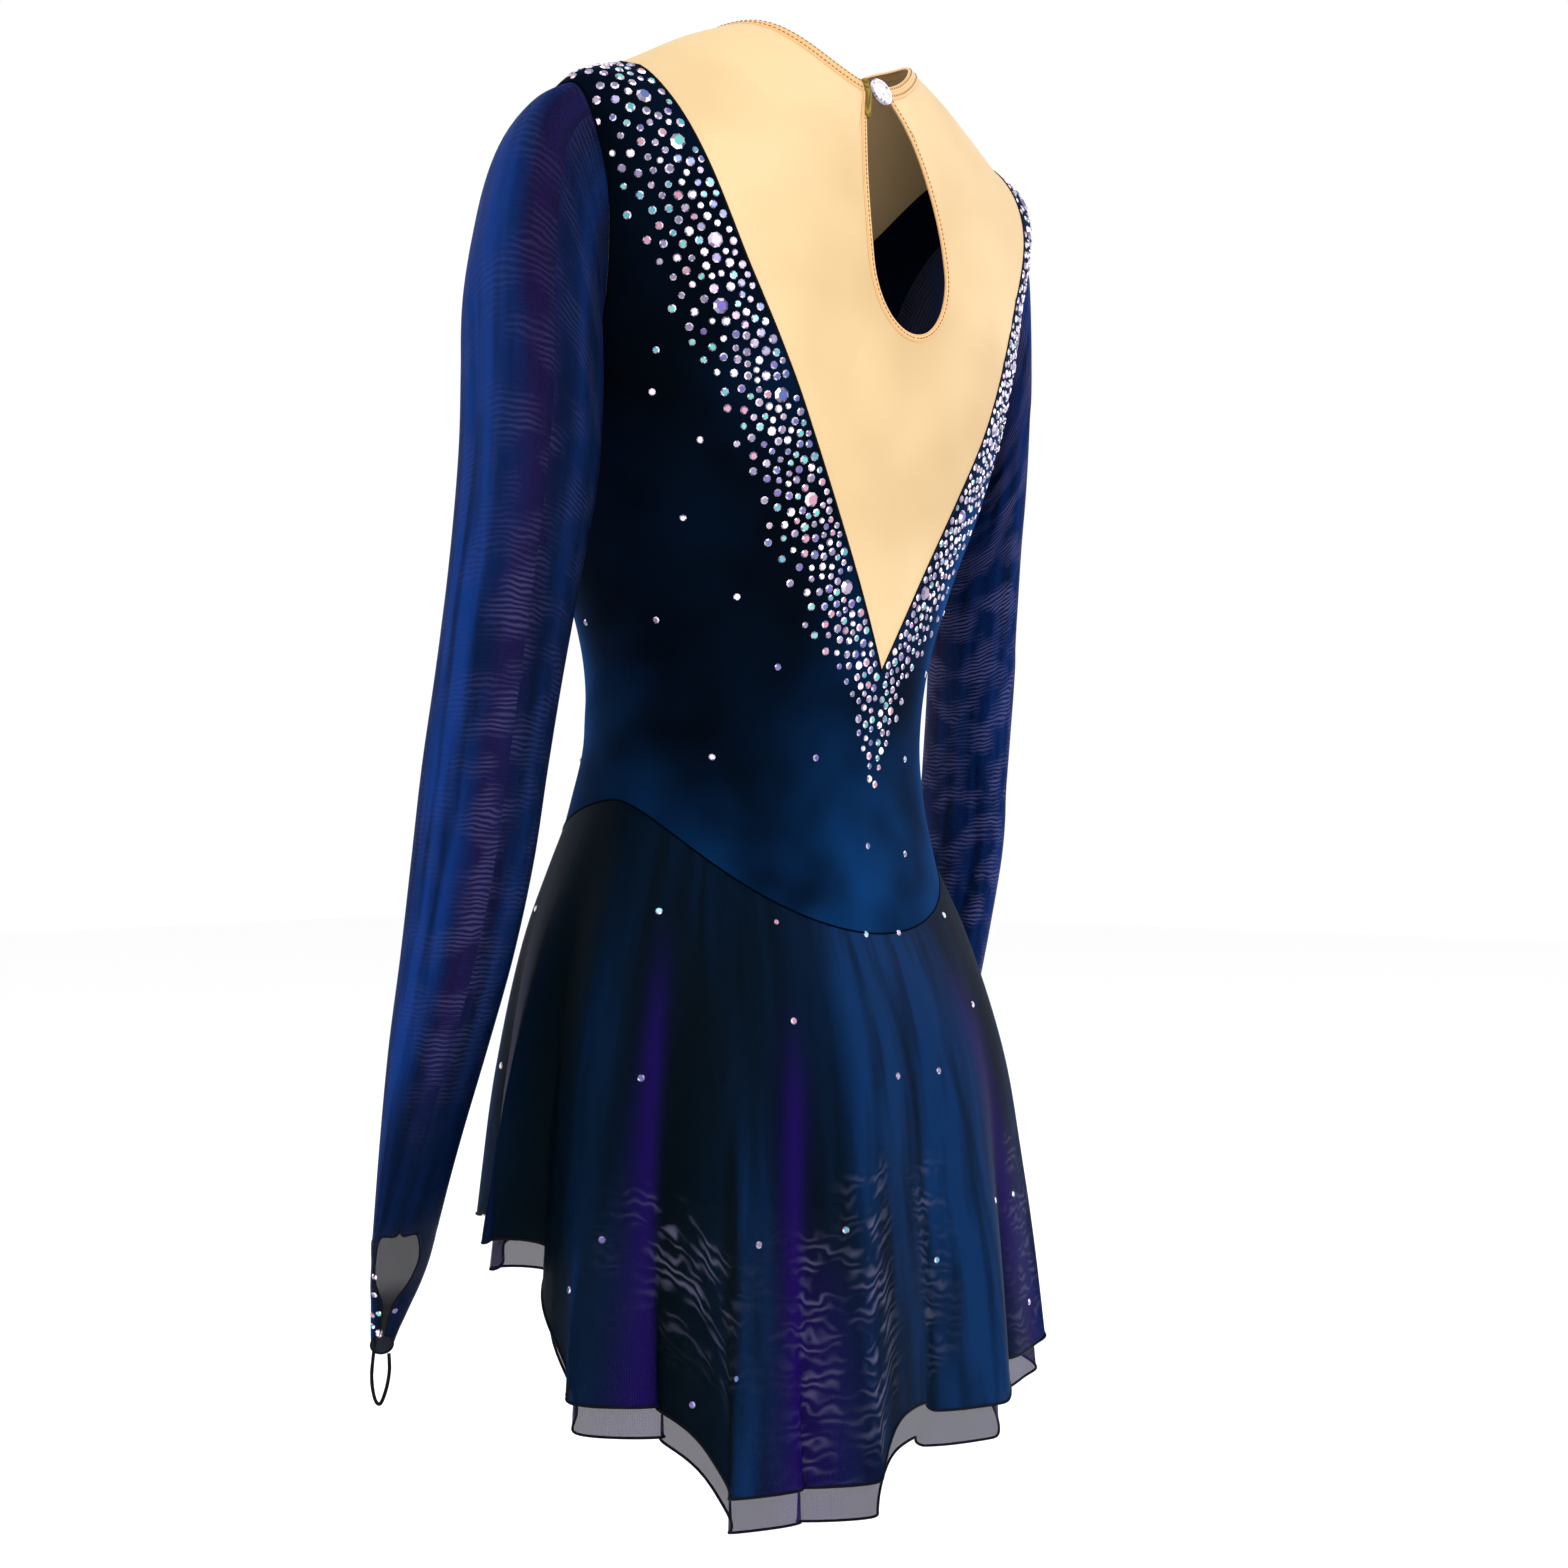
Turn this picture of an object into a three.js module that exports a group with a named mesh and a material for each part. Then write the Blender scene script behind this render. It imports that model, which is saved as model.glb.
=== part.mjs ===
// A figure skating dress, filled out as it is worn, in millimetres.
// +X is the wearer's left, -Y the front and +Z up. The origin is the middle of the neck, level with
// the highest points of the shoulders.
import * as THREE from "three";

// Walls and seams
const seamGap = 0.3;
const velvetWall = 1.6;
const yokeWall = 1.2;
const yokeSunk = 0.2;
const sleeveWall = 1.2;
const sleeveHeadClear = 0.3;
const skirtWall = 1.2;
const briefsWall = 1.2;
const bindingRise = 0.3;
const bindingWall = 2.2;

// Neck, yokes and closure
const neckBindingWidth = 8;
const keyholeBindingWidth = 4;
const keyhole = { topZ: -37, topHalf: 9.5, wideZ: -130, wideHalf: 31.5, bottomZ: -168, fullness: 0.68 };
const strapInnerX = 152;
const button = { radius: 8, thick: 2.2, edge: 1.4, x: -3, shankRadius: 1.6, shankLength: 2.6 };
const napeLoop = { radius: 0.7, reach: 2.9, behind: 0.9, endGap: 0.6, steps: 16 };

// Armhole
const armhole = { topZ: -55, bottomZ: -210, topY: -5, bottomY: -34, back: 27, front: 55 };

// Waist seam, skirt and briefs
const waistSeam = { sideZ: -421, backZ: -495, frontZ: -455, roundness: 1.6 };
const standOffLength = 55;
const rippleHeight = 14;
const overShorterBack = 20;
const overShorterSide = 11;
const rippleGrowth = 1.4;
const rowGrowth = 1.3;
const layerApartHem = 8;
const layerApartGrowth = 1.4;
const waistSeamGap = 0.6;
const briefsClear = 1;
const legLine = { backZ: -628, sideZ: -622, frontZ: -606 };
const crotch = { z: -655, edgeZ: -649, half: 30, y: -45 };

// Finger loops
const fingerLoop = { radius: 1, belowTip: 7.3, steps: 15 };
const fingerLoopRoute = [
  { x: 6.2, y: -1, down: 8 }, { x: 2.5, y: -3, down: 21 }, { x: -2.2, y: -4, down: 25 },
  { x: -5.4, y: -3, down: 18 }, { x: -6, y: -1, down: 8 },
];

// How far the form turns about its own upright, counterclockwise from above, below the arms
const turn = { degrees: 3, startZ: -215, endZ: -420, y: -46 };

// The upright that the skirt is laid out around
const skirtMiddleY = -48;

// The number of steps along each seam
const steps = {
  vArm: 9, vWaist: 8, backCentre: 5, neckBack: 6, keyholeSide: 6, keyholeRound: 5,
  frontV: 10, across: 7, yoke: 5, perFlare: 6, skirtDown: 7,
  briefsRound: 16, briefsDown: 5, gussetDown: 4, gussetAcross: 4,
};

// The body form, from the neckline down. A row is one ring: its half width, then where its side, back
// and front points lie.
const bodyRings = [
  { half: 66, sideY: 0, sideZ: 0, backY: 43, backZ: -28, frontY: -52, frontZ: -68 },
  { half: 103, sideY: -2, sideZ: -14, backY: 55, backZ: -60, frontY: -75, frontZ: -102 },
  { half: 150, sideY: -4, sideZ: -37, backY: 64, backZ: -98, frontY: -102, frontZ: -138 },
  { half: 188, sideY: -5, sideZ: -55, backY: 69, backZ: -132, frontY: -122, frontZ: -168 },
  { half: 181, sideY: -20, sideZ: -110, backY: 71, backZ: -166, frontY: -136, frontZ: -196 },
  { half: 170, sideY: -30, sideZ: -160, backY: 71, backZ: -192, frontY: -142, frontZ: -216 },
  { half: 157, sideY: -34, sideZ: -210, backY: 69, backZ: -218, frontY: -142, frontZ: -230 },
  { half: 142, sideY: -37, sideZ: -256, backY: 62, backZ: -257, frontY: -140, frontZ: -260 },
  { half: 123, sideY: -40, sideZ: -300, backY: 54, backZ: -300, frontY: -133, frontZ: -300 },
  { half: 109, sideY: -43, sideZ: -346, backY: 46, backZ: -346, frontY: -129, frontZ: -346 },
  { half: 110, sideY: -46, sideZ: -388, backY: 40, backZ: -388, frontY: -128, frontZ: -388 },
  { half: 119, sideY: -48, sideZ: -423, backY: 39, backZ: -423, frontY: -133, frontZ: -423 },
  { half: 130, sideY: -48, sideZ: -460, backY: 42, backZ: -460, frontY: -140, frontZ: -460 },
  { half: 145, sideY: -48, sideZ: -500, backY: 50, backZ: -500, frontY: -142, frontZ: -500 },
  { half: 156, sideY: -48, sideZ: -560, backY: 61, backZ: -560, frontY: -141, frontZ: -560 },
  { half: 158, sideY: -48, sideZ: -605, backY: 58, backZ: -605, frontY: -137, frontZ: -605 },
  { half: 155, sideY: -48, sideZ: -640, backY: 46, backZ: -640, frontY: -130, frontZ: -640 },
];

// How squarely each of these rings turns, and how sharply it dips towards back and front
const bodyCorners = [
  { square: 2, dip: 3.2 }, { square: 2, dip: 2.4 }, { square: 2, dip: 1.9 }, { square: 2, dip: 1.7 },
  { square: 2.15, dip: 1.7 }, { square: 2.3, dip: 1.8 }, { square: 2.35, dip: 2 }, { square: 2.3, dip: 2 },
  { square: 2.2, dip: 2 }, { square: 2.1, dip: 2 }, { square: 2.05, dip: 2 }, { square: 2.05, dip: 2 },
  { square: 2.1, dip: 2 }, { square: 2.1, dip: 2 }, { square: 2.1, dip: 2 }, { square: 2.1, dip: 2 },
  { square: 2.1, dip: 2 },
];

// The edges between velvet and nude mesh: half width at each height.
const backVEdge = [
  { z: -39, half: 152 }, { z: -60, half: 149 }, { z: -95, half: 138 }, { z: -145, half: 115 },
  { z: -211, half: 81 }, { z: -256, half: 55 }, { z: -300, half: 29 }, { z: -351, half: 0 },
];
const frontVEdge = [
  { z: -39, half: 152 }, { z: -80, half: 132 }, { z: -120, half: 98 }, { z: -155, half: 55 },
  { z: -184, half: 0 },
];

// Left sleeve, from the armhole to the point of the cuff. A row is one ring, seen from the front by its
// outer and its under point, then the y of its middle, its half width front to back and its turn.
const sleeveRings = [
  { outX: 188, outZ: -55, underX: 160, underZ: -210, midY: -34, half: 41, turn: 0 },
  { outX: 197, outZ: -61, underX: 164, underZ: -214, midY: -33, half: 42, turn: 2 },
  { outX: 205, outZ: -76, underX: 167, underZ: -221, midY: -32, half: 43, turn: 4 },
  { outX: 209, outZ: -102, underX: 168, underZ: -231, midY: -31, half: 43, turn: 6 },
  { outX: 211, outZ: -136, underX: 168, underZ: -243, midY: -31, half: 43, turn: 8 },
  { outX: 211, outZ: -174, underX: 168, underZ: -258, midY: -32, half: 42, turn: 10 },
  { outX: 211, outZ: -215, underX: 168, underZ: -278, midY: -34, half: 40.5, turn: 12 },
  { outX: 212, outZ: -258, underX: 170, underZ: -302, midY: -38, half: 38.5, turn: 14 },
  { outX: 214, outZ: -304, underX: 173, underZ: -332, midY: -43, half: 37, turn: 15 },
  { outX: 216, outZ: -352, underX: 177, underZ: -366, midY: -49, half: 36.5, turn: 15 },
  { outX: 218, outZ: -402, underX: 181, underZ: -408, midY: -56, half: 36.5, turn: 15 },
  { outX: 221, outZ: -452, underX: 184, underZ: -454, midY: -62, half: 35.5, turn: 15 },
  { outX: 223, outZ: -502, underX: 185, underZ: -502, midY: -72, half: 32.5, turn: 15 },
  { outX: 227, outZ: -552, underX: 186, underZ: -552, midY: -84, half: 27.5, turn: 15 },
  { outX: 232, outZ: -600, underX: 187, underZ: -600, midY: -94, half: 20.5, turn: 15 },
];

// The cuff below it, open down one side: each ring's middle, its two half widths and how far its
// edges part, on each side of the direction that the opening faces.
const cuffRings = [
  { midX: 211, midY: -103, z: -644, out: 24, half: 13.5, part: 0 },
  { midX: 211.5, midY: -105, z: -653, out: 23, half: 13, part: 34 },
  { midX: 212, midY: -107, z: -665, out: 20.5, half: 12, part: 50 },
  { midX: 213, midY: -110, z: -678, out: 17, half: 10.5, part: 44 },
  { midX: 214, midY: -113, z: -690, out: 12.5, half: 8.5, part: 20 },
  { midX: 214.5, midY: -116, z: -700, out: 9, half: 7, part: 14 },
  { midX: 215, midY: -118, z: -709, out: 6.5, half: 5.5, part: 14 },
];
const cuffOpening = { column: 2, tilt: 6, turn: 15 };

// The right arm hangs a little further back than the left.
const rightArmShift = [
  { z: -60, inwards: 0, back: 0 }, { z: -180, inwards: 9, back: 10 }, { z: -320, inwards: 10, back: 17 },
  { z: -460, inwards: 5, back: 16 }, { z: -600, inwards: -5, back: 10 }, { z: -712, inwards: -8, back: 4 },
];
const rightArmFirstRings = 5;

// What the skirt hangs to, away from the seam, and the height of the lower layer's hem at its crests
// and valleys, round from the middle of the back (0) by the wearer's left (90).
const skirtForm = [
  { z: -421, half: 122, backY: 42, frontY: -137 },
  { z: -494, half: 152, backY: 63, frontY: -152 },
  { z: -567, half: 171, backY: 79, frontY: -157 },
  { z: -624, half: 179, backY: 85, frontY: -159 },
  { z: -691, half: 184, backY: 90, frontY: -162 },
  { z: -790, half: 188, backY: 94, frontY: -165 },
];
const skirtSquare = 2.1;
const hemHeights = [
  { angle: 0, z: -772 }, { angle: 12, z: -766 }, { angle: 22, z: -795 }, { angle: 47, z: -792 },
  { angle: 57, z: -754 }, { angle: 77, z: -740 }, { angle: 92, z: -672 }, { angle: 104, z: -667 },
  { angle: 120, z: -657 }, { angle: 134, z: -662 }, { angle: 150, z: -664 }, { angle: 167, z: -684 },
  { angle: 182, z: -672 }, { angle: 197, z: -682 }, { angle: 212, z: -662 }, { angle: 228, z: -668 },
  { angle: 243, z: -658 }, { angle: 257, z: -666 }, { angle: 268, z: -676 }, { angle: 283, z: -738 },
  { angle: 300, z: -742 }, { angle: 316, z: -760 }, { angle: 332, z: -762 }, { angle: 347, z: -774 },
  { angle: 360, z: -772 },
];

// The skirt's flares: the direction of each crest, round from the middle of the back to the wearer's
// left, and its height as a share of the greatest.
const flares = [
  { angle: 20, height: 0.8 }, { angle: 47, height: 1 }, { angle: 77, height: 0.9 },
  { angle: 103, height: 1 }, { angle: 134, height: 0.4 }, { angle: 167, height: 0.8 },
  { angle: 197, height: 0.9 }, { angle: 228, height: 0.8 }, { angle: 257, height: 1 },
  { angle: 283, height: 0.85 }, { angle: 314, height: 1 }, { angle: 347, height: 0.7 },
];

const radians = THREE.MathUtils.degToRad;
const mix = THREE.MathUtils.lerp;
const smooth = THREE.MathUtils.smoothstep;

// A smooth curve through four neighbouring values, between the middle two.
function curveThrough(a, b, c, d, share) {
  const before = (c - a) / 2;
  const after = (d - b) / 2;
  const s2 = share * share;
  const s3 = s2 * share;
  const between = mix(b, c, 3 * s2 - 2 * s3);
  return between + before * (s3 - 2 * s2 + share) + after * (s3 - s2);
}

// One column of a table at a place counted in rows, such as 2.5 for half way from row 2 to row 3.
function tableValue(table, column, place) {
  const last = table.length - 1;
  const row = Math.min(Math.max(Math.floor(place), 0), last - 1);
  const at = (i) => table[Math.min(Math.max(i, 0), last)][column];
  return curveThrough(at(row - 1), at(row), at(row + 1), at(row + 2), place - row);
}

// The place in a table where a falling or rising column reaches a value.
function placeOf(table, column, value) {
  const rising = table.at(-1)[column] > table[0][column];
  let low = 0;
  let high = table.length - 1;
  for (let i = 0; i < 40; i++) {
    const middle = (low + high) / 2;
    if (tableValue(table, column, middle) < value === rising) low = middle;
    else high = middle;
  }
  return (low + high) / 2;
}

// The value where a function that steadily falls or rises reaches its target.
function solve(low, high, target, of) {
  const rising = of(high) > of(low);
  for (let i = 0; i < 36; i++) {
    const middle = (low + high) / 2;
    if (of(middle) < target === rising) low = middle;
    else high = middle;
  }
  return (low + high) / 2;
}

// Turning the form about its upright, below the arms
const turnAt = (z) => radians(turn.degrees) * smooth(-z, -turn.startZ, -turn.endZ);
const turnedDirection = (direction, z) =>
  direction.clone().applyAxisAngle(new THREE.Vector3(0, 0, 1), turnAt(z));

function turned(point) {
  const angle = turnAt(point.z);
  const y = point.y - turn.y;
  return new THREE.Vector3(
    point.x * Math.cos(angle) - y * Math.sin(angle),
    turn.y + point.x * Math.sin(angle) + y * Math.cos(angle),
    point.z,
  );
}

// The body form at an angle round from the middle of the back (0) to the wearer's left (90) and the
// front (180), and at a ring place.
function bodyPoint(angle, place) {
  const ring = (column) => tableValue(bodyRings, column, place);
  const c = Math.cos(radians(angle));
  const s = Math.sin(radians(angle));
  const square = tableValue(bodyCorners, "square", place);
  const reach = (Math.abs(c) ** square + Math.abs(s) ** square) ** (-1 / square);
  const sideY = ring("sideY");
  const depth = c >= 0 ? ring("backY") - sideY : sideY - ring("frontY");
  const sideZ = ring("sideZ");
  const fall = (c >= 0 ? ring("backZ") : ring("frontZ")) - sideZ;
  return new THREE.Vector3(
    ring("half") * s * reach,
    sideY + depth * c * reach,
    sideZ + fall * Math.abs(c) ** tableValue(bodyCorners, "dip", place),
  );
}

const lastRing = bodyRings.length - 1;
const placeAtHeight = (angle, z) => solve(0, lastRing, z, (place) => bodyPoint(angle, place).z);
const atHeight = (angle, z) => ({ angle, place: placeAtHeight(angle, z) });

// The place on the back (or the front) that lies at x and z, or on the left side at y and z
function onBack(x, z) {
  return atHeight(solve(0, 90, x, (angle) => bodyPoint(angle, placeAtHeight(angle, z)).x), z);
}
function onFront(x, z) {
  return atHeight(solve(90, 180, x, (angle) => bodyPoint(angle, placeAtHeight(angle, z)).x), z);
}
function onSide(y, z) {
  return atHeight(solve(20, 160, y, (angle) => bodyPoint(angle, placeAtHeight(angle, z)).y), z);
}

// The outward direction of a surface, from two small steps on it
function outward(surface, u, v, stepU, stepV) {
  const along = surface(u + stepU, v).sub(surface(u - stepU, v));
  const down = surface(u, v + stepV).sub(surface(u, v - stepV));
  return along.cross(down).normalize();
}
const bodyOutward = (angle, place) =>
  outward((a, p) => turned(bodyPoint(a, p)), angle, Math.max(place, 0.02), 0.2, 0.02);

// Evenly spread numbers from a first to a last
const spread = (first, last, count) =>
  Array.from({ length: count + 1 }, (_, i) => mix(first, last, i / count));

// A patch between four edges of places on the body. Top and bottom run the same way, and so do the
// first and last edges, which join their ends.
function patch(top, bottom, first, last) {
  const rows = first.length - 1;
  const columns = top.length - 1;
  const blend = (key, row, column) => {
    const v = row / rows;
    const u = column / columns;
    const sides = mix(first[row][key], last[row][key], u);
    const ends = mix(top[column][key], bottom[column][key], v);
    const above = mix(top[0][key], top[columns][key], u);
    const below = mix(bottom[0][key], bottom[columns][key], u);
    return sides + ends - mix(above, below, v);
  };
  return first.map((_, row) =>
    top.map((_, column) => ({ angle: blend("angle", row, column), place: blend("place", row, column) })),
  );
}

// A patch read the other way across, so that its faces look out
const flipped = (grid) => grid.map((row) => [...row].reverse());

// The same patch on the wearer's right, still read the same way across as seen from outside
const mirrored = (grid) => grid.map((row) => row.map((at) => ({ ...at, angle: -at.angle })).reverse());

// A closed wall of cloth over grids of points. Shared points are joined, the edges are drawn in by
// half a seam gap, and the wall lies between two distances out from the surface.
function clothWall(grids, out, wall, inset = seamGap / 2) {
  const points = [];
  const normals = [];
  const index = new Map();
  const idOf = ({ point, normal }) => {
    const key = point.toArray().map((value) => Math.round(value * 200)).join();
    if (!index.has(key)) {
      index.set(key, points.length);
      points.push(point.clone());
      normals.push(normal ? normal.clone() : null);
    }
    return index.get(key);
  };
  const faces = [];
  for (const grid of grids) {
    const ids = grid.map((row) => row.map(idOf));
    for (let row = 0; row + 1 < ids.length; row++) {
      for (let column = 0; column + 1 < ids[row].length; column++) {
        const [a, b] = [ids[row][column], ids[row][column + 1]];
        const [c, d] = [ids[row + 1][column + 1], ids[row + 1][column]];
        const even = points[a].distanceTo(points[c]) < points[b].distanceTo(points[d]);
        for (const face of even ? [[a, d, c], [a, c, b]] : [[a, d, b], [d, c, b]]) {
          if (new Set(face).size === 3) faces.push(face);
        }
      }
    }
  }
  const fromFaces = points.map(() => new THREE.Vector3());
  for (const [a, b, c] of faces) {
    const across = points[b].clone().sub(points[a]).cross(points[c].clone().sub(points[a]));
    for (const id of [a, b, c]) fromFaces[id].add(across);
  }
  normals.forEach((normal, id) => {
    if (!normal) normals[id] = fromFaces[id].normalize();
  });

  const directed = new Set(faces.flatMap(([a, b, c]) => [a + " " + b, b + " " + c, c + " " + a]));
  const rims = [...directed]
    .map((edge) => edge.split(" ").map(Number))
    .filter(([a, b]) => !directed.has(b + " " + a));
  const inwardOf = ([a, b]) => normals[a].clone().cross(points[b].clone().sub(points[a])).normalize();
  const moves = new Map();
  for (const edge of rims) {
    for (const id of edge) moves.set(id, [...(moves.get(id) ?? []), inwardOf(edge)]);
  }
  for (const [id, [first, second]] of moves) {
    const corner = 1 + first.dot(second);
    points[id].addScaledVector(first.clone().add(second), inset / Math.max(corner, 0.2));
  }

  const outer = points.map((point, id) => point.clone().addScaledVector(normals[id], out));
  const inner = points.map((point, id) => point.clone().addScaledVector(normals[id], out - wall));
  const lift = points.length;
  const triangles = faces.flatMap(([a, b, c]) => [a, b, c, a + lift, c + lift, b + lift]);
  for (const [a, b] of rims) triangles.push(b, a, a + lift, b, a + lift, b + lift);
  return new THREE.BufferGeometry()
    .setFromPoints([...outer, ...inner])
    .setIndex(triangles);
}

// A grid of places on the body made into points and their outward directions
const onBody = (grid) =>
  grid.map((row) =>
    row.map(({ angle, place }) => ({
      point: turned(bodyPoint(angle, place)),
      normal: bodyOutward(angle, place),
    })),
  );

// Seams, each a run of places on the left half, which the pieces on both sides of it share
const strapPlace = solve(0, 3, strapInnerX, (place) => bodyPoint(90, place).x);
const tipPlace = placeAtHeight(90, armhole.topZ);
const atShoulder = (place) => ({ angle: 90, place });

function edgeFrom(table, count, find) {
  return spread(table[0].z, table.at(-1).z, count).map((z, i) =>
    i === 0 ? atShoulder(strapPlace) : find(tableValue(table, "half", placeOf(table, "z", z)), z),
  );
}
const backVSteps = steps.vArm + steps.vWaist;
const backV = edgeFrom(backVEdge, backVSteps, onBack);
backV[backVSteps].angle = 0;
const frontV = edgeFrom(frontVEdge, steps.frontV, onFront);
frontV[steps.frontV].angle = 180;

// The place that lies a distance down from the neckline
const belowNeck = (angle, distance) => ({
  angle,
  place: solve(0, 1, distance, (place) => bodyPoint(angle, place).distanceTo(bodyPoint(angle, 0))),
});

// The left edge of the keyhole, or a line outside it
function keyholeEdge(out) {
  const upper = spread(0, 1, steps.keyholeSide).map((share) => {
    const z = mix(keyhole.topZ, keyhole.wideZ, share);
    const widening = Math.sin(radians(90 * share)) ** keyhole.fullness;
    return onBack(out + mix(keyhole.topHalf, keyhole.wideHalf, widening), z);
  });
  const lower = spread(0, 90, steps.keyholeRound).slice(1).map((angle) => {
    const x = (keyhole.wideHalf + out) * Math.cos(radians(angle));
    return onBack(x, mix(keyhole.wideZ, keyhole.bottomZ - out, Math.sin(radians(angle))));
  });
  lower.at(-1).angle = 0;
  return [...upper, ...lower];
}
const keyholeInner = keyholeEdge(0);
const keyholeOuter = keyholeEdge(keyholeBindingWidth);

// The lower edge of the neck binding is where the yokes and the keyhole binding end.
const neckEndAngle = solve(0, 60, keyhole.topHalf, (angle) => bodyPoint(angle, 0).x);
const keyholeInnerTop = solve(0, 60, keyhole.topHalf, (angle) => {
  const { place } = belowNeck(angle, neckBindingWidth);
  return bodyPoint(angle, place).x;
});
const keyholeOuterTop = solve(0, 60, keyhole.topHalf + keyholeBindingWidth, (angle) => {
  const { place } = belowNeck(angle, neckBindingWidth);
  return bodyPoint(angle, place).x;
});
keyholeInner[0] = belowNeck(keyholeInnerTop, neckBindingWidth);
keyholeOuter[0] = belowNeck(keyholeOuterTop, neckBindingWidth);
const neckLine = (first, last, count) =>
  spread(first, last, count).map((angle) => belowNeck(angle, neckBindingWidth));
const neckBack = neckLine(90, keyholeOuterTop, steps.neckBack);
const neckFront = neckLine(90, 180, steps.frontV);

// The armhole from the shoulder down to the underarm, by its back or its front edge
function armholeEdge(reach) {
  return spread(0, 180, steps.vArm).map((angle) => {
    const share = (1 - Math.cos(radians(angle))) / 2;
    const z = mix(armhole.topZ, armhole.bottomZ, share);
    if (angle === 0) return atShoulder(tipPlace);
    if (angle === 180) return atHeight(90, armhole.bottomZ);
    return onSide(mix(armhole.topY, armhole.bottomY, share) + reach * Math.sin(radians(angle)), z);
  });
}
const armholeBack = armholeEdge(armhole.back);
const armholeFront = armholeEdge(-armhole.front);

// The waist seam's height runs straight between the bodice's hem points, for the skirt to follow.
function waistHeight(angle) {
  const seamAt = (at) => {
    const c = Math.cos(radians(at));
    const lowest = c >= 0 ? waistSeam.backZ : waistSeam.frontZ;
    return mix(waistSeam.sideZ, lowest, Math.abs(c) ** waistSeam.roundness);
  };
  const step = 90 / steps.across;
  const before = Math.floor(angle / step + 1e-9) * step;
  return mix(seamAt(before), seamAt(before + step), (angle - before) / step);
}
const waistPlace = (angle) => atHeight(angle, waistHeight(angle));
const downSide = steps.vWaist + steps.backCentre;
const sideSeam = spread(armhole.bottomZ, waistSeam.sideZ, downSide).map((z) => atHeight(90, z));
const centreLine = (angle, topZ, bottomZ, count) =>
  spread(topZ, bottomZ, count).map((z) => atHeight(angle, z));

// Pieces of the bodice and the yokes, from the left half and its mirror image
const strap = spread(strapPlace, tipPlace, steps.across).map(atShoulder);
const yokeShoulder = spread(neckBack[0].place, strapPlace, steps.yoke).map(atShoulder);

function bodiceBack() {
  const centre = centreLine(0, backVEdge.at(-1).z, waistSeam.backZ, steps.backCentre);
  const inner = [...backV, ...centre.slice(1)];
  const outer = [...armholeBack, ...sideSeam.slice(1)];
  const hem = spread(0, 90, steps.across).map(waistPlace);
  const left = patch(strap, hem, inner, outer);
  return clothWall([left, mirrored(left)].map(flipped).map(onBody), 0, velvetWall);
}

function bodiceFront() {
  const centreSteps = backVSteps + steps.backCentre - steps.frontV;
  const centre = centreLine(180, frontVEdge.at(-1).z, waistSeam.frontZ, centreSteps);
  const inner = [...frontV, ...centre.slice(1)];
  const outer = [...armholeFront, ...sideSeam.slice(1)];
  const hem = spread(180, 90, steps.across).map(waistPlace);
  const left = patch(strap, hem, inner, outer);
  return clothWall([left, mirrored(left)].map(onBody), 0, velvetWall);
}

function yokeBack() {
  const inner = [...neckBack, ...keyholeOuter.slice(1)];
  const centre = centreLine(0, keyhole.bottomZ - keyholeBindingWidth, backVEdge.at(-1).z, steps.yoke);
  const left = patch(yokeShoulder, centre, inner, backV);
  return clothWall([left, mirrored(left)].map(flipped).map(onBody), -yokeSunk, yokeWall);
}

function yokeFront() {
  const centrePlaces = spread(neckFront.at(-1).place, frontV.at(-1).place, steps.yoke);
  const centre = centrePlaces.map((place) => ({ angle: 180, place }));
  const left = patch(yokeShoulder, centre, neckFront, frontV);
  return clothWall([left, mirrored(left)].map(onBody), -yokeSunk, yokeWall);
}

// Bindings lie edge to edge with the mesh and a little proud of it.
function strip(firstEdge, secondEdge) {
  return firstEdge.map((at, i) => [at, secondEdge[i]]);
}
function neckBinding() {
  const lower = [...[...neckBack].reverse(), ...neckFront.slice(1)];
  lower[0] = belowNeck(keyholeInnerTop, neckBindingWidth);
  lower.splice(1, 0, neckBack.at(-1));
  const upper = lower.map(({ angle }, i) => ({ angle: i === 0 ? neckEndAngle : angle, place: 0 }));
  const left = strip(lower, upper);
  return clothWall([left, mirrored(left)].map(flipped).map(onBody), bindingRise, bindingWall);
}
function keyholeBinding() {
  const left = strip(keyholeInner, keyholeOuter);
  return clothWall([left, mirrored(left)].map(flipped).map(onBody), bindingRise, bindingWall);
}

// Sleeves. The first ring is the armhole, lifted clear of the bodice's edge, and the rings below take
// up its shape less and less.
const armholeLoop = [...armholeBack, ...armholeFront.slice(1, -1).reverse()];
const sleeveColumns = armholeLoop.length;
const armholeFade = [1, 0.75, 0.45, 0.2];

function sleeveHeadRing() {
  const places = armholeLoop.map(({ angle, place }) => bodyPoint(angle, place));
  const sum = places.reduce((total, point) => total.add(point), new THREE.Vector3());
  const centre = sum.divideScalar(places.length);
  return places.map((point, i) => {
    const before = places[(i + sleeveColumns - 1) % sleeveColumns];
    const after = places[(i + 1) % sleeveColumns];
    const normal = bodyOutward(armholeLoop[i].angle, armholeLoop[i].place);
    const away = after.clone().sub(before).cross(normal).normalize();
    if (away.dot(centre.clone().sub(point)) < 0) away.negate();
    const wallShare = Math.abs(away.dot(point.clone().sub(centre).normalize()));
    const clear = sleeveHeadClear + (sleeveWall / 2) * wallShare;
    return point.clone().addScaledVector(normal, seamGap).addScaledVector(away, clear);
  });
}

const columnAngle = (column) => (360 / sleeveColumns) * column;

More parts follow.
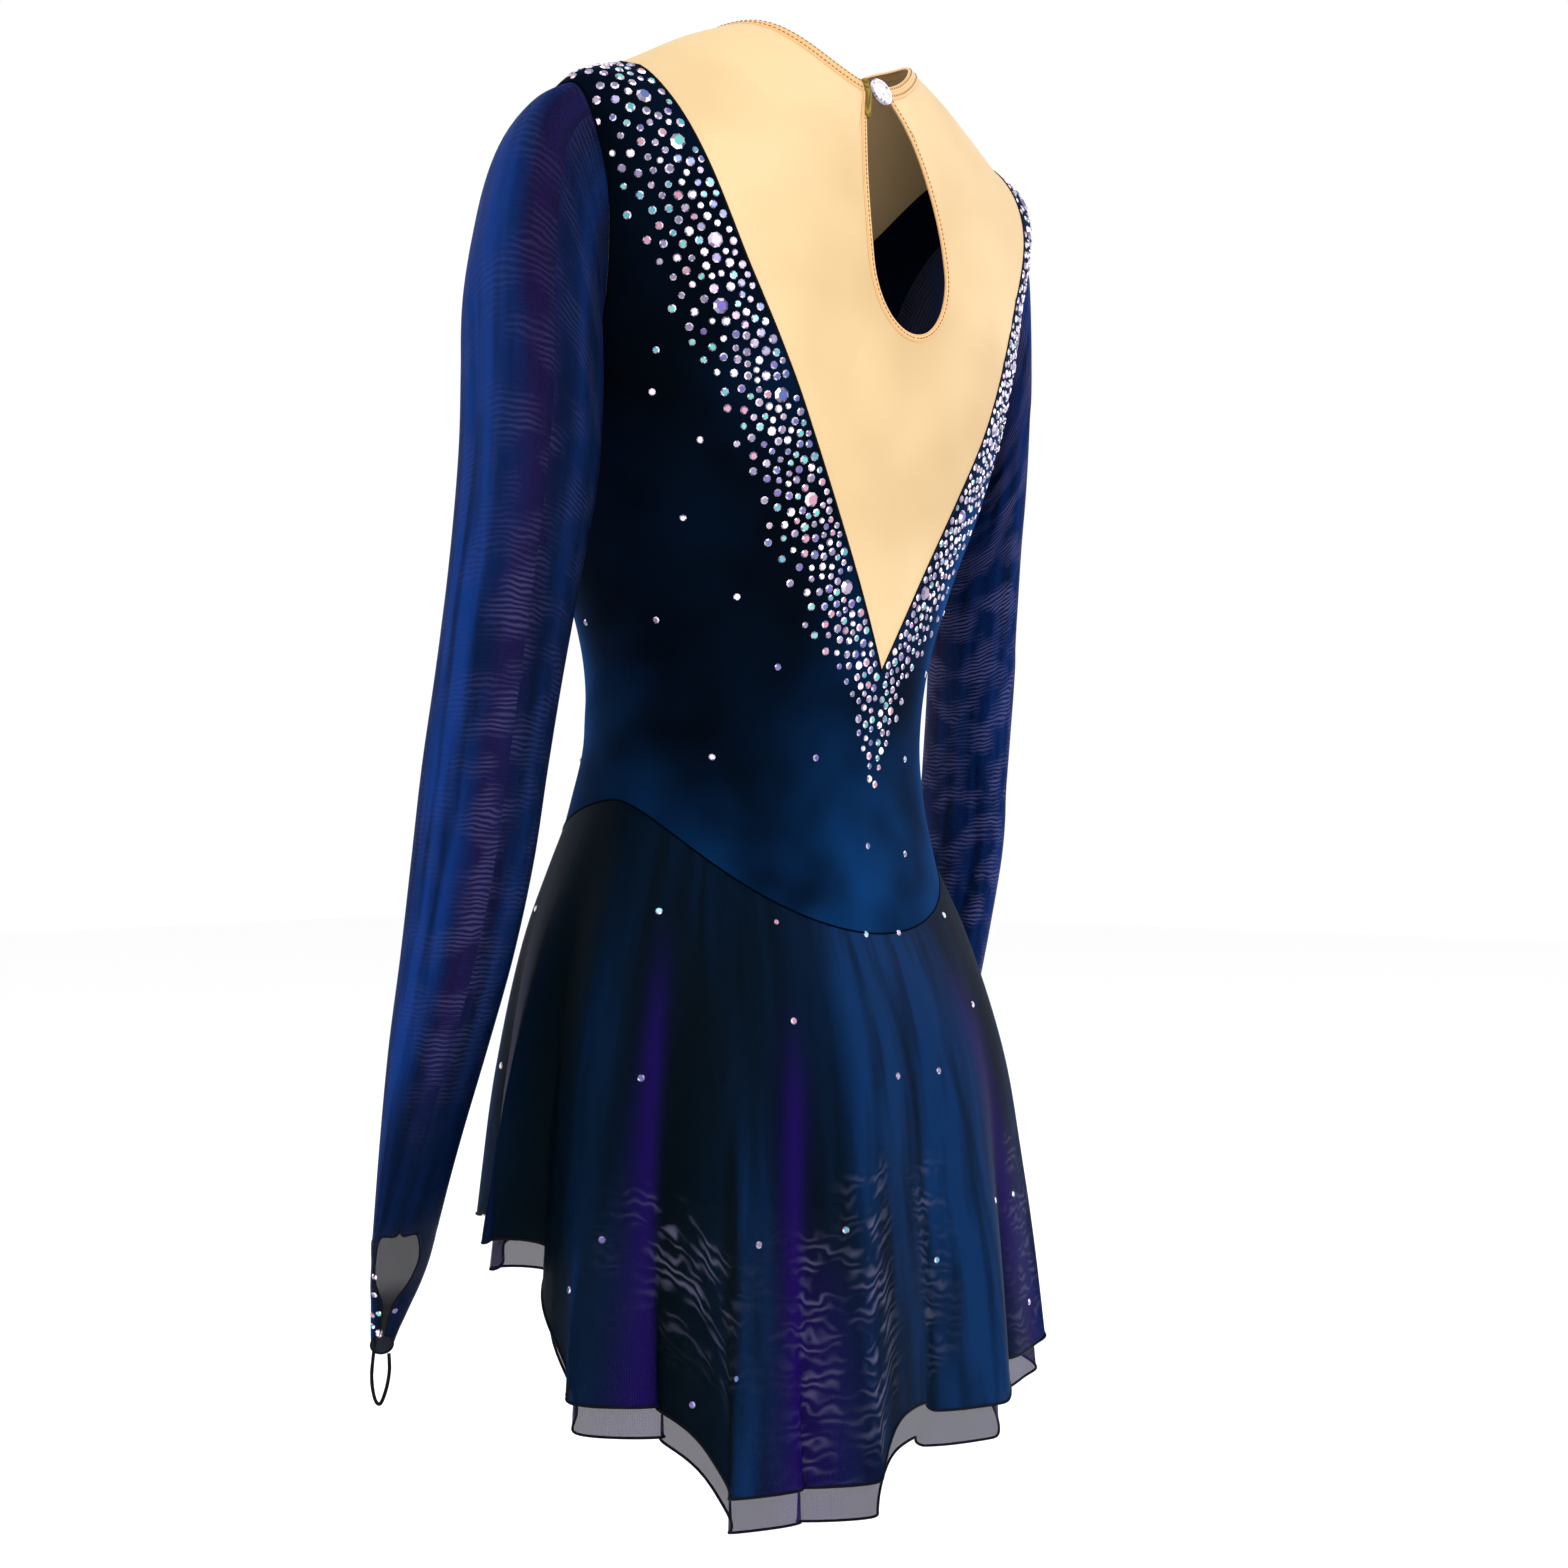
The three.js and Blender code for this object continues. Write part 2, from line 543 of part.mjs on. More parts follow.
function sleeveRingPoint(ring, angle) {
  const midX = (ring.outX + ring.underX) / 2;
  const midZ = (ring.outZ + ring.underZ) / 2;
  const middle = new THREE.Vector3(midX, ring.midY, midZ);
  const t = radians(ring.turn);
  const reachX = (ring.outX - ring.underX) / 2;
  const reachZ = (ring.outZ - ring.underZ) / 2;
  const outwards = new THREE.Vector3(reachX * Math.cos(t), reachX * Math.sin(t), reachZ);
  const backwards = new THREE.Vector3(-Math.sin(t), Math.cos(t), 0).multiplyScalar(ring.half);
  return middle
    .addScaledVector(outwards, Math.cos(radians(angle)))
    .addScaledVector(backwards, Math.sin(radians(angle)));
}

function cuffRingPoint(ring, angle) {
  const t = radians(cuffOpening.turn);
  const c = Math.cos(radians(angle));
  const s = Math.sin(radians(angle));
  const tilt = cuffOpening.tilt * Math.cos(radians(angle - columnAngle(cuffOpening.column)));
  return new THREE.Vector3(
    ring.midX + ring.out * c * Math.cos(t) - ring.half * s * Math.sin(t),
    ring.midY + ring.out * c * Math.sin(t) + ring.half * s * Math.cos(t),
    ring.z + tilt * (ring.part > 0 ? 1 : 0),
  );
}

// The rings of the left sleeve as rows of points, each row starting at the side that the cuff opens on
function sleeveRows() {
  const head = sleeveHeadRing();
  const shapes = head.map((point, i) => point.clone().sub(sleeveRingPoint(sleeveRings[0], columnAngle(i))));
  const upper = sleeveRings.map((ring, row) =>
    head.map((_, i) => {
      const shape = shapes[i].clone().multiplyScalar(armholeFade[row] ?? 0);
      return sleeveRingPoint(ring, columnAngle(i)).add(shape);
    }),
  );
  const start = cuffOpening.column;
  const rows = upper.map((row) => [...row.slice(start), ...row.slice(0, start + 1)]);
  for (const ring of cuffRings) {
    const first = columnAngle(start) + ring.part;
    const last = columnAngle(start) + 360 - ring.part;
    rows.push(spread(first, last, sleeveColumns).map((angle) => cuffRingPoint(ring, angle)));
  }
  return rows;
}

// A point of the left sleeve, or its mirror image as the right arm hangs. The share is how much of the
// right arm's own hang it takes.
function armPoint(point, side, share = 1) {
  if (side > 0) return point;
  const z = THREE.MathUtils.clamp(point.z, rightArmShift.at(-1).z, rightArmShift[0].z);
  const place = placeOf(rightArmShift, "z", z);
  const inwards = tableValue(rightArmShift, "inwards", place) * share;
  const back = tableValue(rightArmShift, "back", place) * share;
  return new THREE.Vector3(-point.x + inwards, point.y + back, point.z);
}

function sleeve(side) {
  const rows = sleeveRows().map((row, i) => {
    const share = smooth(i, 0, rightArmFirstRings);
    return row.map((point) => ({ point: armPoint(point, side, share) }));
  });
  const grid = side > 0 ? rows.map((row) => row.reverse()) : rows;
  return clothWall([grid], sleeveWall / 2, sleeveWall, 0);
}

// An elastic cord from one side of the cuff's point to the other, hanging in a narrow loop
function fingerLoopOf(side) {
  const tip = cuffRings.at(-1);
  const below = new THREE.Vector3(0, 0, -seamGap - fingerLoop.radius);
  const end = (angle) => cuffRingPoint(tip, angle).add(below);
  const hanging = fingerLoopRoute.map(({ x, y, down }) =>
    new THREE.Vector3(tip.midX + x, tip.midY + y, tip.z - fingerLoop.belowTip - down),
  );
  const route = [end(0), ...hanging, end(180)].map((point) => armPoint(point, side));
  return cord(route, fingerLoop.radius, fingerLoop.steps);
}

function cord(route, radius, count) {
  const section = new THREE.Shape().absarc(0, 0, radius, 0, 2 * Math.PI);
  return new THREE.ExtrudeGeometry(section, {
    steps: count,
    curveSegments: 4,
    extrudePath: new THREE.CatmullRomCurve3(route),
  });
}

// Skirt. A crest or a valley between crests is found from the flares on both sides of an angle.
const wrap = (angle) => ((angle % 360) + 360) % 360;

function flareAt(angle) {
  const first = flares[0].angle;
  const at = wrap(angle - first);
  let i = 0;
  while (i + 1 < flares.length && flares[i + 1].angle - first <= at) i++;
  const here = flares[i];
  const next = flares[(i + 1) % flares.length];
  const span = wrap(next.angle - here.angle);
  const share = (at - (here.angle - first)) / span;
  return { share, height: mix(here.height, next.height, share) };
}

function ripple(angle) {
  const { share, height } = flareAt(angle);
  return height * Math.cos(2 * Math.PI * share);
}

function hemHeight(angle) {
  return tableValue(hemHeights, "z", placeOf(hemHeights, "angle", wrap(angle)));
}

function overHemHeight(angle) {
  const back = (1 + Math.cos(radians(angle))) / 2;
  return hemHeight(angle) + mix(overShorterSide, overShorterBack, back);
}

// A point of the skirt at an angle and a height, on the upper layer's middle
function skirtPoint(angle, z) {
  const top = waistHeight(angle);
  const bodyAt = bodyPoint(angle, placeAtHeight(angle, Math.max(z, bodyRings.at(-1).sideZ)));
  const place = placeOf(skirtForm, "z", z);
  const form = (column) => tableValue(skirtForm, column, place);
  const c = Math.cos(radians(angle));
  const s = Math.sin(radians(angle));
  const reach = (Math.abs(c) ** skirtSquare + Math.abs(s) ** skirtSquare) ** (-1 / skirtSquare);
  const depth = c >= 0 ? form("backY") - skirtMiddleY : skirtMiddleY - form("frontY");
  const hung = new THREE.Vector3(form("half") * s * reach, skirtMiddleY + depth * c * reach, z);
  const stand = 1 - Math.exp(-(top - z) / standOffLength);
  const point = bodyAt.setZ(z).lerp(hung, stand);
  const share = Math.max(0, (top - z) / (top - hemHeight(angle)));
  const away = new THREE.Vector3(point.x, point.y - skirtMiddleY, 0).normalize();
  return point.addScaledVector(away, rippleHeight * share ** rippleGrowth * ripple(angle));
}

// The columns of a skirt panel: whole steps of each flare, from one side seam to the other
function flareAngles(from, to) {
  const all = flares.flatMap(({ angle }, i) => {
    const span = wrap(flares[(i + 1) % flares.length].angle - angle);
    return spread(0, span, steps.perFlare).slice(0, -1).map((step) => angle + step);
  });
  const within = all.map((angle) => (angle >= to ? angle - 360 : angle)).filter((angle) => angle > from + 1);
  return [from, ...within.filter((angle) => angle < to - 1).sort((a, b) => a - b), to];
}

function skirtPanel(from, to, under) {
  const angles = flareAngles(from, to);
  const shares = spread(0, 1, steps.skirtDown).map((share) => share ** rowGrowth);
  const heights = (angle) => {
    const over = shares.map((share) => mix(waistHeight(angle) - waistSeamGap, overHemHeight(angle), share));
    return under ? [...over, hemHeight(angle)] : over;
  };
  const columns = angles.map((angle) =>
    heights(angle).map((z, row) => {
      const normal = outward(skirtPoint, angle, z, 0.5, -0.5);
      const share = Math.min(1, row / steps.skirtDown);
      const inwards = under ? mix(skirtWall + seamGap, layerApartHem, share ** layerApartGrowth) : 0;
      const flat = new THREE.Vector3(normal.x, normal.y, 0).normalize();
      return {
        point: turned(skirtPoint(angle, z).addScaledVector(flat, -inwards)),
        normal: turnedDirection(normal, z),
      };
    }),
  );
  const grid = columns[0].map((_, row) => columns.map((column) => column[row]));
  return clothWall([flipped(grid)], 0, skirtWall);
}

// Briefs: two halves from the waist seam to the leg line, and a gusset that joins them
function legLineHeight(angle) {
  const c = Math.cos(radians(angle));
  return mix(legLine.sideZ, c >= 0 ? legLine.backZ : legLine.frontZ, Math.abs(c));
}

function briefsHalf(front) {
  const middle = front ? 180 : 0;
  const angles = spread(middle - 90, middle + 90, steps.briefsRound);
  const inwards = skirtWall * 2 + seamGap * 2 + briefsClear;
  const wallPoint = (angle, z) => {
    const { place } = atHeight(angle, z);
    return turned(bodyPoint(angle, place)).addScaledVector(bodyOutward(angle, place), -inwards);
  };
  const heightAt = (angle, share) => mix(waistHeight(angle) - waistSeamGap, legLineHeight(angle), share);
  const upper = spread(0, 1, steps.briefsDown).map((share) =>
    angles.map((angle) => ({ point: wallPoint(angle, heightAt(angle, share)) })),
  );
  const edge = upper.at(-1).map(({ point }) => point);
  const firstOfGusset = (steps.briefsRound - steps.gussetAcross) / 2;
  const gussetTop = edge.slice(firstOfGusset, firstOfGusset + steps.gussetAcross + 1);
  const crotchRow = spread(-1, 1, steps.gussetAcross).map((share) => {
    const x = (front ? -1 : 1) * share * crotch.half;
    return turned(new THREE.Vector3(x, crotch.y, mix(crotch.z, crotch.edgeZ, share * share)));
  });
  const gusset = spread(0, 1, steps.gussetDown).map((share) =>
    gussetTop.map((point, i) => {
      const end = crotchRow[i];
      const round = Math.sin(radians(90 * share));
      return {
        point: new THREE.Vector3(
          mix(point.x, end.x, round),
          mix(point.y, end.y, 1 - Math.cos(radians(90 * share))),
          mix(point.z, end.z, round),
        ),
      };
    }),
  );
  return clothWall([upper, gusset], 0, briefsWall);
}

// Nape closure: a shank button on the right end of the binding, and a thread loop from the left end.
// Its frame lies on the middle of the binding, with Z outwards and Y up the neck.
function napeFrame() {
  const { angle, place } = belowNeck(0, neckBindingWidth / 2);
  const up = bodyPoint(0, 0).sub(bodyPoint(0, 0.3)).normalize();
  const outwards = bodyOutward(angle, place);
  const across = new THREE.Vector3().crossVectors(up, outwards).normalize();
  const frame = new THREE.Group();
  frame.matrix.makeBasis(across, up, outwards).setPosition(bodyPoint(angle, place));
  frame.matrixAutoUpdate = false;
  return frame;
}

function napeButton() {
  const { radius, thick, edge, shankRadius, shankLength } = button;
  const profile = [
    [0, -shankLength], [shankRadius, -shankLength], [shankRadius, 0], [radius, 0], [radius, edge],
    [radius - 1, thick], [radius - 2, thick], [radius - 2.6, edge], [0, edge],
  ].map(([out, up]) => new THREE.Vector2(out, up));
  const base = bindingRise + seamGap;
  return new THREE.LatheGeometry(profile, 20).rotateX(Math.PI / 2).translate(-button.x, 0, base);
}

function napeLoopCord() {
  const { reach, behind } = napeLoop;
  const end = keyhole.topHalf - napeLoop.endGap;
  const round = spread(90, 270, 4).map((angle) => [
    button.x + reach * Math.cos(radians(angle)), reach * Math.sin(radians(angle)),
  ]);
  const route = [[end, reach], [end / 2, reach], ...round, [end / 2, -reach], [end, -reach]];
  return cord(route.map(([x, y]) => new THREE.Vector3(-x, y, -behind)), napeLoop.radius, napeLoop.steps);
}

// Materials
const velvet = new THREE.MeshStandardMaterial({ color: "#0a1230", roughness: 0.75, metalness: 0 });
const nudeMesh = new THREE.MeshStandardMaterial({ color: "#f0d3a0", roughness: 0.8, metalness: 0 });
const sleeveMesh = new THREE.MeshStandardMaterial({ color: "#1f2f86", roughness: 0.6, metalness: 0 });
const skirtMesh = new THREE.MeshStandardMaterial({ color: "#141c4c", roughness: 0.6, metalness: 0 });
const darkKnit = new THREE.MeshStandardMaterial({ color: "#070a1c", roughness: 0.8, metalness: 0 });
const clearPlastic = new THREE.MeshStandardMaterial({ color: "#efe9f2", roughness: 0.25, metalness: 0 });
const thread = new THREE.MeshStandardMaterial({ color: "#9a8a48", roughness: 0.7, metalness: 0 });

const dress = new THREE.Group();

function add(name, geometry, material, parent = dress) {
  const mesh = new THREE.Mesh(geometry, material);
  mesh.name = name;
  parent.add(mesh);
  return mesh;
}

add("bodice_front", bodiceFront(), velvet);
add("bodice_back", bodiceBack(), velvet);
add("yoke_front", yokeFront(), nudeMesh);
add("yoke_back", yokeBack(), nudeMesh);
add("neck_binding", neckBinding(), nudeMesh);
add("keyhole_binding", keyholeBinding(), nudeMesh);
add("sleeve_left", sleeve(1), sleeveMesh);
add("sleeve_right", sleeve(-1), sleeveMesh);
add("finger_loop_left", fingerLoopOf(1), darkKnit);
add("finger_loop_right", fingerLoopOf(-1), darkKnit);
add("skirt_over_back", skirtPanel(-90, 90, false), skirtMesh);
add("skirt_over_front", skirtPanel(90, 270, false), skirtMesh);
add("skirt_under_back", skirtPanel(-90, 90, true), skirtMesh);
add("skirt_under_front", skirtPanel(90, 270, true), skirtMesh);
add("briefs_back", briefsHalf(false), darkKnit);
add("briefs_front", briefsHalf(true), darkKnit);

const nape = napeFrame();
dress.add(nape);
add("nape_button", napeButton(), clearPlastic, nape);
add("nape_loop", napeLoopCord(), thread, nape);

export default dress;
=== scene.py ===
# A figure skating dress: the cloth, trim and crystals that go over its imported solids.
# Shapes are worked out in millimetres in the part's own frame, and made in metres.
import math

import bmesh
import bpy
import numpy as np
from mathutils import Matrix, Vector
from mathutils.bvhtree import BVHTree


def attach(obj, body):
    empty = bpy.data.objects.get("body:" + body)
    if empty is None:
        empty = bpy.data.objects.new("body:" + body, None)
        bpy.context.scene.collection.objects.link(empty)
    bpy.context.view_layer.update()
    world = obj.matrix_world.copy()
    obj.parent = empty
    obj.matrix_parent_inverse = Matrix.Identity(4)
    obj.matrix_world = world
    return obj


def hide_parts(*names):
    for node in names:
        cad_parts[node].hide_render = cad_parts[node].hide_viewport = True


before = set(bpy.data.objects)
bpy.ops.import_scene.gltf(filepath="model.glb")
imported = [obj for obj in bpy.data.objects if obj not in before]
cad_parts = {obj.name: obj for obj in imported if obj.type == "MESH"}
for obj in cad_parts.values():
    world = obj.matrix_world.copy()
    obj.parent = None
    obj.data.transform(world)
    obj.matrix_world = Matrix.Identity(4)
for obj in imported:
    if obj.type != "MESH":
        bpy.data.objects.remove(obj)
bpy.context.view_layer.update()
mm = 0.001
scene = bpy.context.scene

# Camera, light and floor

photoCamera = {
    "side": 50.0,  # degrees round from straight behind, towards the wearer's left
    "distance": 1530.0,  # in millimetres, like the height
    "height": -416.0,
    "focalPixels": 2727.0,
    "imagePixels": 1568.0,
    "axisPixel": 814.5,  # where the dress's upright stands in the image
    "horizonPixel": 790.0,
    "sensor": 36.0,
    "clipEnd": 50.0,
}
studio = {
    "floorHeight": -960.0,
    "floorSize": 16.0,
    "floorColour": "#fcfcfd",
    "floorRoughness": 0.9,
    "skyColour": "#ffffff",
    "skyStrength": 1.0,
    "lightsAim": (0, -0.04, -0.4),
}
softLights = [  # places and sizes in metres, power in watts
    {"name": "keyLight", "at": (2.3, 1.5, 1.5), "size": 1.6, "power": 46, "colour": "#ffffff"},
    {"name": "sideLight", "at": (0.4, 2.6, 0.3), "size": 1.2, "power": 26, "colour": "#eef2ff"},
    {"name": "fillLight", "at": (-2.4, 0.6, 0.8), "size": 1.8, "power": 22, "colour": "#f2f0ff"},
    {"name": "frontLight", "at": (0.6, -2.6, 1.2), "size": 2.0, "power": 26, "colour": "#ffffff"},
]


def hexColour(code):
    # The linear colour of an sRGB hex code
    channels = [int(code[i:i + 2], 16) / 255 for i in (1, 3, 5)]
    linear = [c / 12.92 if c <= 0.04045 else ((c + 0.055) / 1.055) ** 2.4 for c in channels]
    return (*linear, 1.0)


def cameraFrame():
    side = math.radians(photoCamera["side"])
    back = Vector((math.sin(side), math.cos(side), 0))
    right = Vector((-math.cos(side), math.sin(side), 0))
    place = back * photoCamera["distance"] + Vector((0, 0, photoCamera["height"]))
    return place, back, right


def addCamera():
    pixels = photoCamera["imagePixels"]
    place, back, right = cameraFrame()
    data = bpy.data.cameras.new("photoCamera")
    data.sensor_width = photoCamera["sensor"]
    data.lens = photoCamera["sensor"] * photoCamera["focalPixels"] / pixels
    data.shift_x = (pixels / 2 - photoCamera["axisPixel"]) / pixels
    data.shift_y = (photoCamera["horizonPixel"] - pixels / 2) / pixels
    data.clip_end = photoCamera["clipEnd"]
    camera = bpy.data.objects.new("photoCamera", data)
    camera.location = place * mm
    camera.rotation_euler = (math.radians(90), 0, math.radians(180 - photoCamera["side"]))
    scene.collection.objects.link(camera)
    scene.camera = camera


def addLights():
    for light in softLights:
        data = bpy.data.lights.new(light["name"], "AREA")
        data.size = light["size"]
        data.energy = light["power"]
        data.color = hexColour(light["colour"])[:3]
        lamp = bpy.data.objects.new(light["name"], data)
        lamp.location = light["at"]
        aim = Vector(studio["lightsAim"]) - lamp.location
        lamp.rotation_euler = aim.to_track_quat("-Z", "Y").to_euler()
        scene.collection.objects.link(lamp)


def addNode(tree, kind, settings=None, **inputs):
    # Inputs are values, or sockets to link; an underscore in a name stands for a space.
    node = tree.nodes.new(kind)
    for key, value in (settings or {}).items():
        setattr(node, key, value)
    for key, value in inputs.items():
        name = key.replace("_", " ")
        socket = node.inputs[int(name[5:])] if name.startswith("input") else node.inputs[name]
        if isinstance(value, bpy.types.NodeSocket):
            tree.links.new(value, socket)
        else:
            socket.default_value = value
    return node


def addStage():
    world = bpy.data.worlds.new("studio")
    world.use_nodes = True
    sky = world.node_tree.nodes["Background"].inputs
    sky["Color"].default_value = hexColour(studio["skyColour"])
    sky["Strength"].default_value = studio["skyStrength"]
    scene.world = world
    half = studio["floorSize"] / 2
    height = studio["floorHeight"] * mm
    mesh = bpy.data.meshes.new("floor")
    corners = [(x * half, y * half, height) for x, y in ((-1, -1), (1, -1), (1, 1), (-1, 1))]
    mesh.from_pydata(corners, [], [(0, 1, 2, 3)])
    floor = bpy.data.objects.new("floor", mesh)
    scene.collection.objects.link(floor)
    paint = bpy.data.materials.new("palePaper")
    paint.use_nodes = True
    shader = paint.node_tree.nodes["Principled BSDF"]
    shader.inputs["Base Color"].default_value = hexColour(studio["floorColour"])
    shader.inputs["Roughness"].default_value = studio["floorRoughness"]
    mesh.materials.append(paint)


scene.view_settings.view_transform = "Standard"
addCamera()
addLights()
addStage()
print("camera, light and floor are set")

# The body form, the same as the solids': columns of ring sizes from the neckline down

detail = 6  # fine steps for each step of the solids
levelRings = [-300, -346, -388, -423, -460, -500, -560, -605, -640]  # heights where a ring lies level
bodyForm = {
    "half": [66, 103, 150, 188, 181, 170, 157, 142, 123, 109, 110, 119, 130, 145, 156, 158, 155],
    "sideY": [0, -2, -4, -5, -20, -30, -34, -37, -40, -43, -46, -48, -48, -48, -48, -48, -48],
    "sideZ": [0, -14, -37, -55, -110, -160, -210, -256, *levelRings],
    "backY": [43, 55, 64, 69, 71, 71, 69, 62, 54, 46, 40, 39, 42, 50, 61, 58, 46],
    "backZ": [-28, -60, -98, -132, -166, -192, -218, -257, *levelRings],
    "frontY": [-52, -75, -102, -122, -136, -142, -142, -140, -133, -129, -128, -133, -140, -142, -141, -137,
               -130],
    "frontZ": [-68, -102, -138, -168, -196, -216, -230, -260, *levelRings],
    "square": [2, 2, 2, 2, 2.15, 2.3, 2.35, 2.3, 2.2, 2.1, 2.05, 2.05, 2.1, 2.1, 2.1, 2.1, 2.1],
    "dip": [3.2, 2.4, 1.9, 1.7, 1.7, 1.8, 2, 2, 2, 2, 2, 2, 2, 2, 2, 2, 2],
}
lastRing = len(bodyForm["half"]) - 1
bodyTurn = {"degrees": 3.0, "startZ": -215.0, "endZ": -420.0, "y": -46.0}
bodyMiddleY = -46.0


def mix(a, b, share):
    return a + (b - a) * share


def smooth(value, low, high):
    share = np.clip((value - low) / (high - low), 0, 1)
    return share * share * (3 - 2 * share)


def curveAt(column, place):
    # A smooth curve through a column of values (or rows of points), at a place counted in rows
    values = np.asarray(column, float)
    place = np.asarray(place, float)
    last = len(values) - 1
    row = np.clip(np.floor(place).astype(int), 0, last - 1)
    a, b, c, d = (values[np.clip(row + step, 0, last)] for step in (-1, 0, 1, 2))
    s = (place - row).reshape(place.shape + (1,) * (b.ndim - place.ndim))
    before = (c - a) / 2
    after = (d - b) / 2
    return mix(b, c, 3 * s**2 - 2 * s**3) + before * (s**3 - 2 * s**2 + s) + after * (s**3 - s**2)


def solve(low, high, target, valueAt, turns=34):
    # Where a steadily falling or rising function reaches its target, for whole arrays at once
    target = np.asarray(target, float)
    low = np.full(target.shape, float(low))
    high = np.full(target.shape, float(high))
    rising = valueAt(high) > valueAt(low)
    for _ in range(turns):
        middle = (low + high) / 2
        short = (valueAt(middle) < target) == rising
        low = np.where(short, middle, low)
        high = np.where(short, high, middle)
    return (low + high) / 2


def alongTable(table, key, value, wanted):
    place = solve(0, len(table[key]) - 1, value, lambda p: curveAt(table[key], p))
    return curveAt(table[wanted], place)


def cosSin(angle):
    return np.cos(np.radians(angle)), np.sin(np.radians(angle))


def unit(vectors):
    return vectors / np.linalg.norm(vectors, axis=-1, keepdims=True)


def namedRows(names, rows):
    # A table with its column names at the top, as one dictionary for each row
    return [dict(zip(names.split(), row)) for row in rows]


def paired(first, second):
    return np.broadcast_arrays(np.asarray(first, float), np.asarray(second, float))


def distanceAlong(points):
    return np.concatenate([[0], np.cumsum(np.linalg.norm(np.diff(points, axis=0), axis=1))])


def squareReach(c, s, square):
    # How far a rounded square goes out in a direction: 2 gives a circle, more a squarer form
    return (np.abs(c) ** square + np.abs(s) ** square) ** (-1 / square)


def turned(points):
    # The waist and hips turn a little against the shoulders.
    share = smooth(-points[..., 2], -bodyTurn["startZ"], -bodyTurn["endZ"])
    angle = np.radians(bodyTurn["degrees"]) * share
    x = points[..., 0]
    y = points[..., 1] - bodyTurn["y"]
    return np.stack(
        [x * np.cos(angle) - y * np.sin(angle),
         bodyTurn["y"] + x * np.sin(angle) + y * np.cos(angle),
         points[..., 2]], axis=-1)


def bodyPoint(angle, place):
    # A place on the body: the angle goes round from the back's middle, the place counts rings down
    angle, place = paired(angle, place)
    ring = {name: curveAt(column, place) for name, column in bodyForm.items()}
    c, s = cosSin(angle)
    reach = squareReach(c, s, ring["square"])
    back = c >= 0
    depth = np.where(back, ring["backY"] - ring["sideY"], ring["sideY"] - ring["frontY"])
    fall = np.where(back, ring["backZ"], ring["frontZ"]) - ring["sideZ"]
    return np.stack(
        [ring["half"] * s * reach,
         ring["sideY"] + depth * c * reach,
         ring["sideZ"] + fall * np.abs(c) ** ring["dip"]], axis=-1)


def placeAtHeight(angle, z):
    angle, z = paired(angle, z)
    return solve(0, lastRing, z, lambda place: bodyPoint(angle, place)[..., 2])


def whereOnBody(low, high, axis, value, z):
    # The (angle, place) that lies at a height and at an x (axis 0) or a y (axis 1)
    angle = solve(low, high, value, lambda a: bodyPoint(a, placeAtHeight(a, z))[..., axis], turns=24)
    return np.stack([angle, placeAtHeight(angle, z)], axis=-1)


def onBack(x, z):
    return whereOnBody(0, 90, 0, x, z)


def onFront(x, z):
    return whereOnBody(90, 180, 0, x, z)


def onSide(y, z):
    return whereOnBody(20, 160, 1, y, z)


def atAngle(angle, place):
    return np.stack(paired(angle, place), axis=-1)


def gridNormals(points, closed=False):
    along = np.gradient(points, axis=1)
    if closed:
        seam = (points[:, 1] - points[:, -2]) / 2
        along[:, 0] = seam
        along[:, -1] = seam
    down = np.gradient(points, axis=0)
    normals = np.cross(along, down)
    length = np.linalg.norm(normals, axis=-1, keepdims=True)
    return normals / np.maximum(length, 1e-9)


def patch(top, bottom, first, last):
    # A grid that fills the space between four edges
    rows = np.linspace(0, 1, len(first))[:, None, None]
    columns = np.linspace(0, 1, len(top))[None, :, None]
    sides = mix(first[:, None, :], last[:, None, :], columns)
    ends = mix(top[None, :, :], bottom[None, :, :], rows)
    above = mix(top[0], top[-1], columns)
    below = mix(bottom[0], bottom[-1], columns)
    return sides + ends - mix(above, below, rows)


# Seams on the wearer's left half, each a run of (angle, place) that both its pieces share

seams = {
    "vArm": 9, "vWaist": 8, "backCentre": 5, "neckBack": 6, "keyholeSide": 6, "keyholeRound": 5,
    "frontV": 10, "across": 7, "yoke": 5,
    "strapInnerX": 152.0,
    "neckBindingWidth": 8.0, "keyholeBindingWidth": 4.0,
}
backVEdge = {
    "z": [-39, -60, -95, -145, -211, -256, -300, -351],
    "half": [152, 149, 138, 115, 81, 55, 29, 0],
}
frontVEdge = {"z": [-39, -80, -120, -155, -184], "half": [152, 132, 98, 55, 0]}
keyhole = {
    "topZ": -37, "topHalf": 9.5, "wideZ": -130, "wideHalf": 31.5, "bottomZ": -168, "fullness": 0.68,
}
armhole = {"topZ": -55, "bottomZ": -210, "topY": -5, "bottomY": -34, "back": 27, "front": 55}
waistSeam = {"sideZ": -421, "backZ": -495, "frontZ": -455, "roundness": 1.6}


def vEdge(table, steps, find):
    # An edge of the V from the shoulder to its point
    z = np.linspace(table["z"][0], table["z"][-1], steps * detail + 1)
    edge = find(alongTable(table, "z", z, "half"), z)
    edge[0] = (90, strapPlace)
    return edge


def belowNeck(angle, distance):
    angle = np.asarray(angle, float)
    start = bodyPoint(angle, 0)
    place = solve(0, 1, np.full(angle.shape, float(distance)),
                  lambda p: np.linalg.norm(bodyPoint(angle, p) - start, axis=-1))
    return atAngle(angle, place)


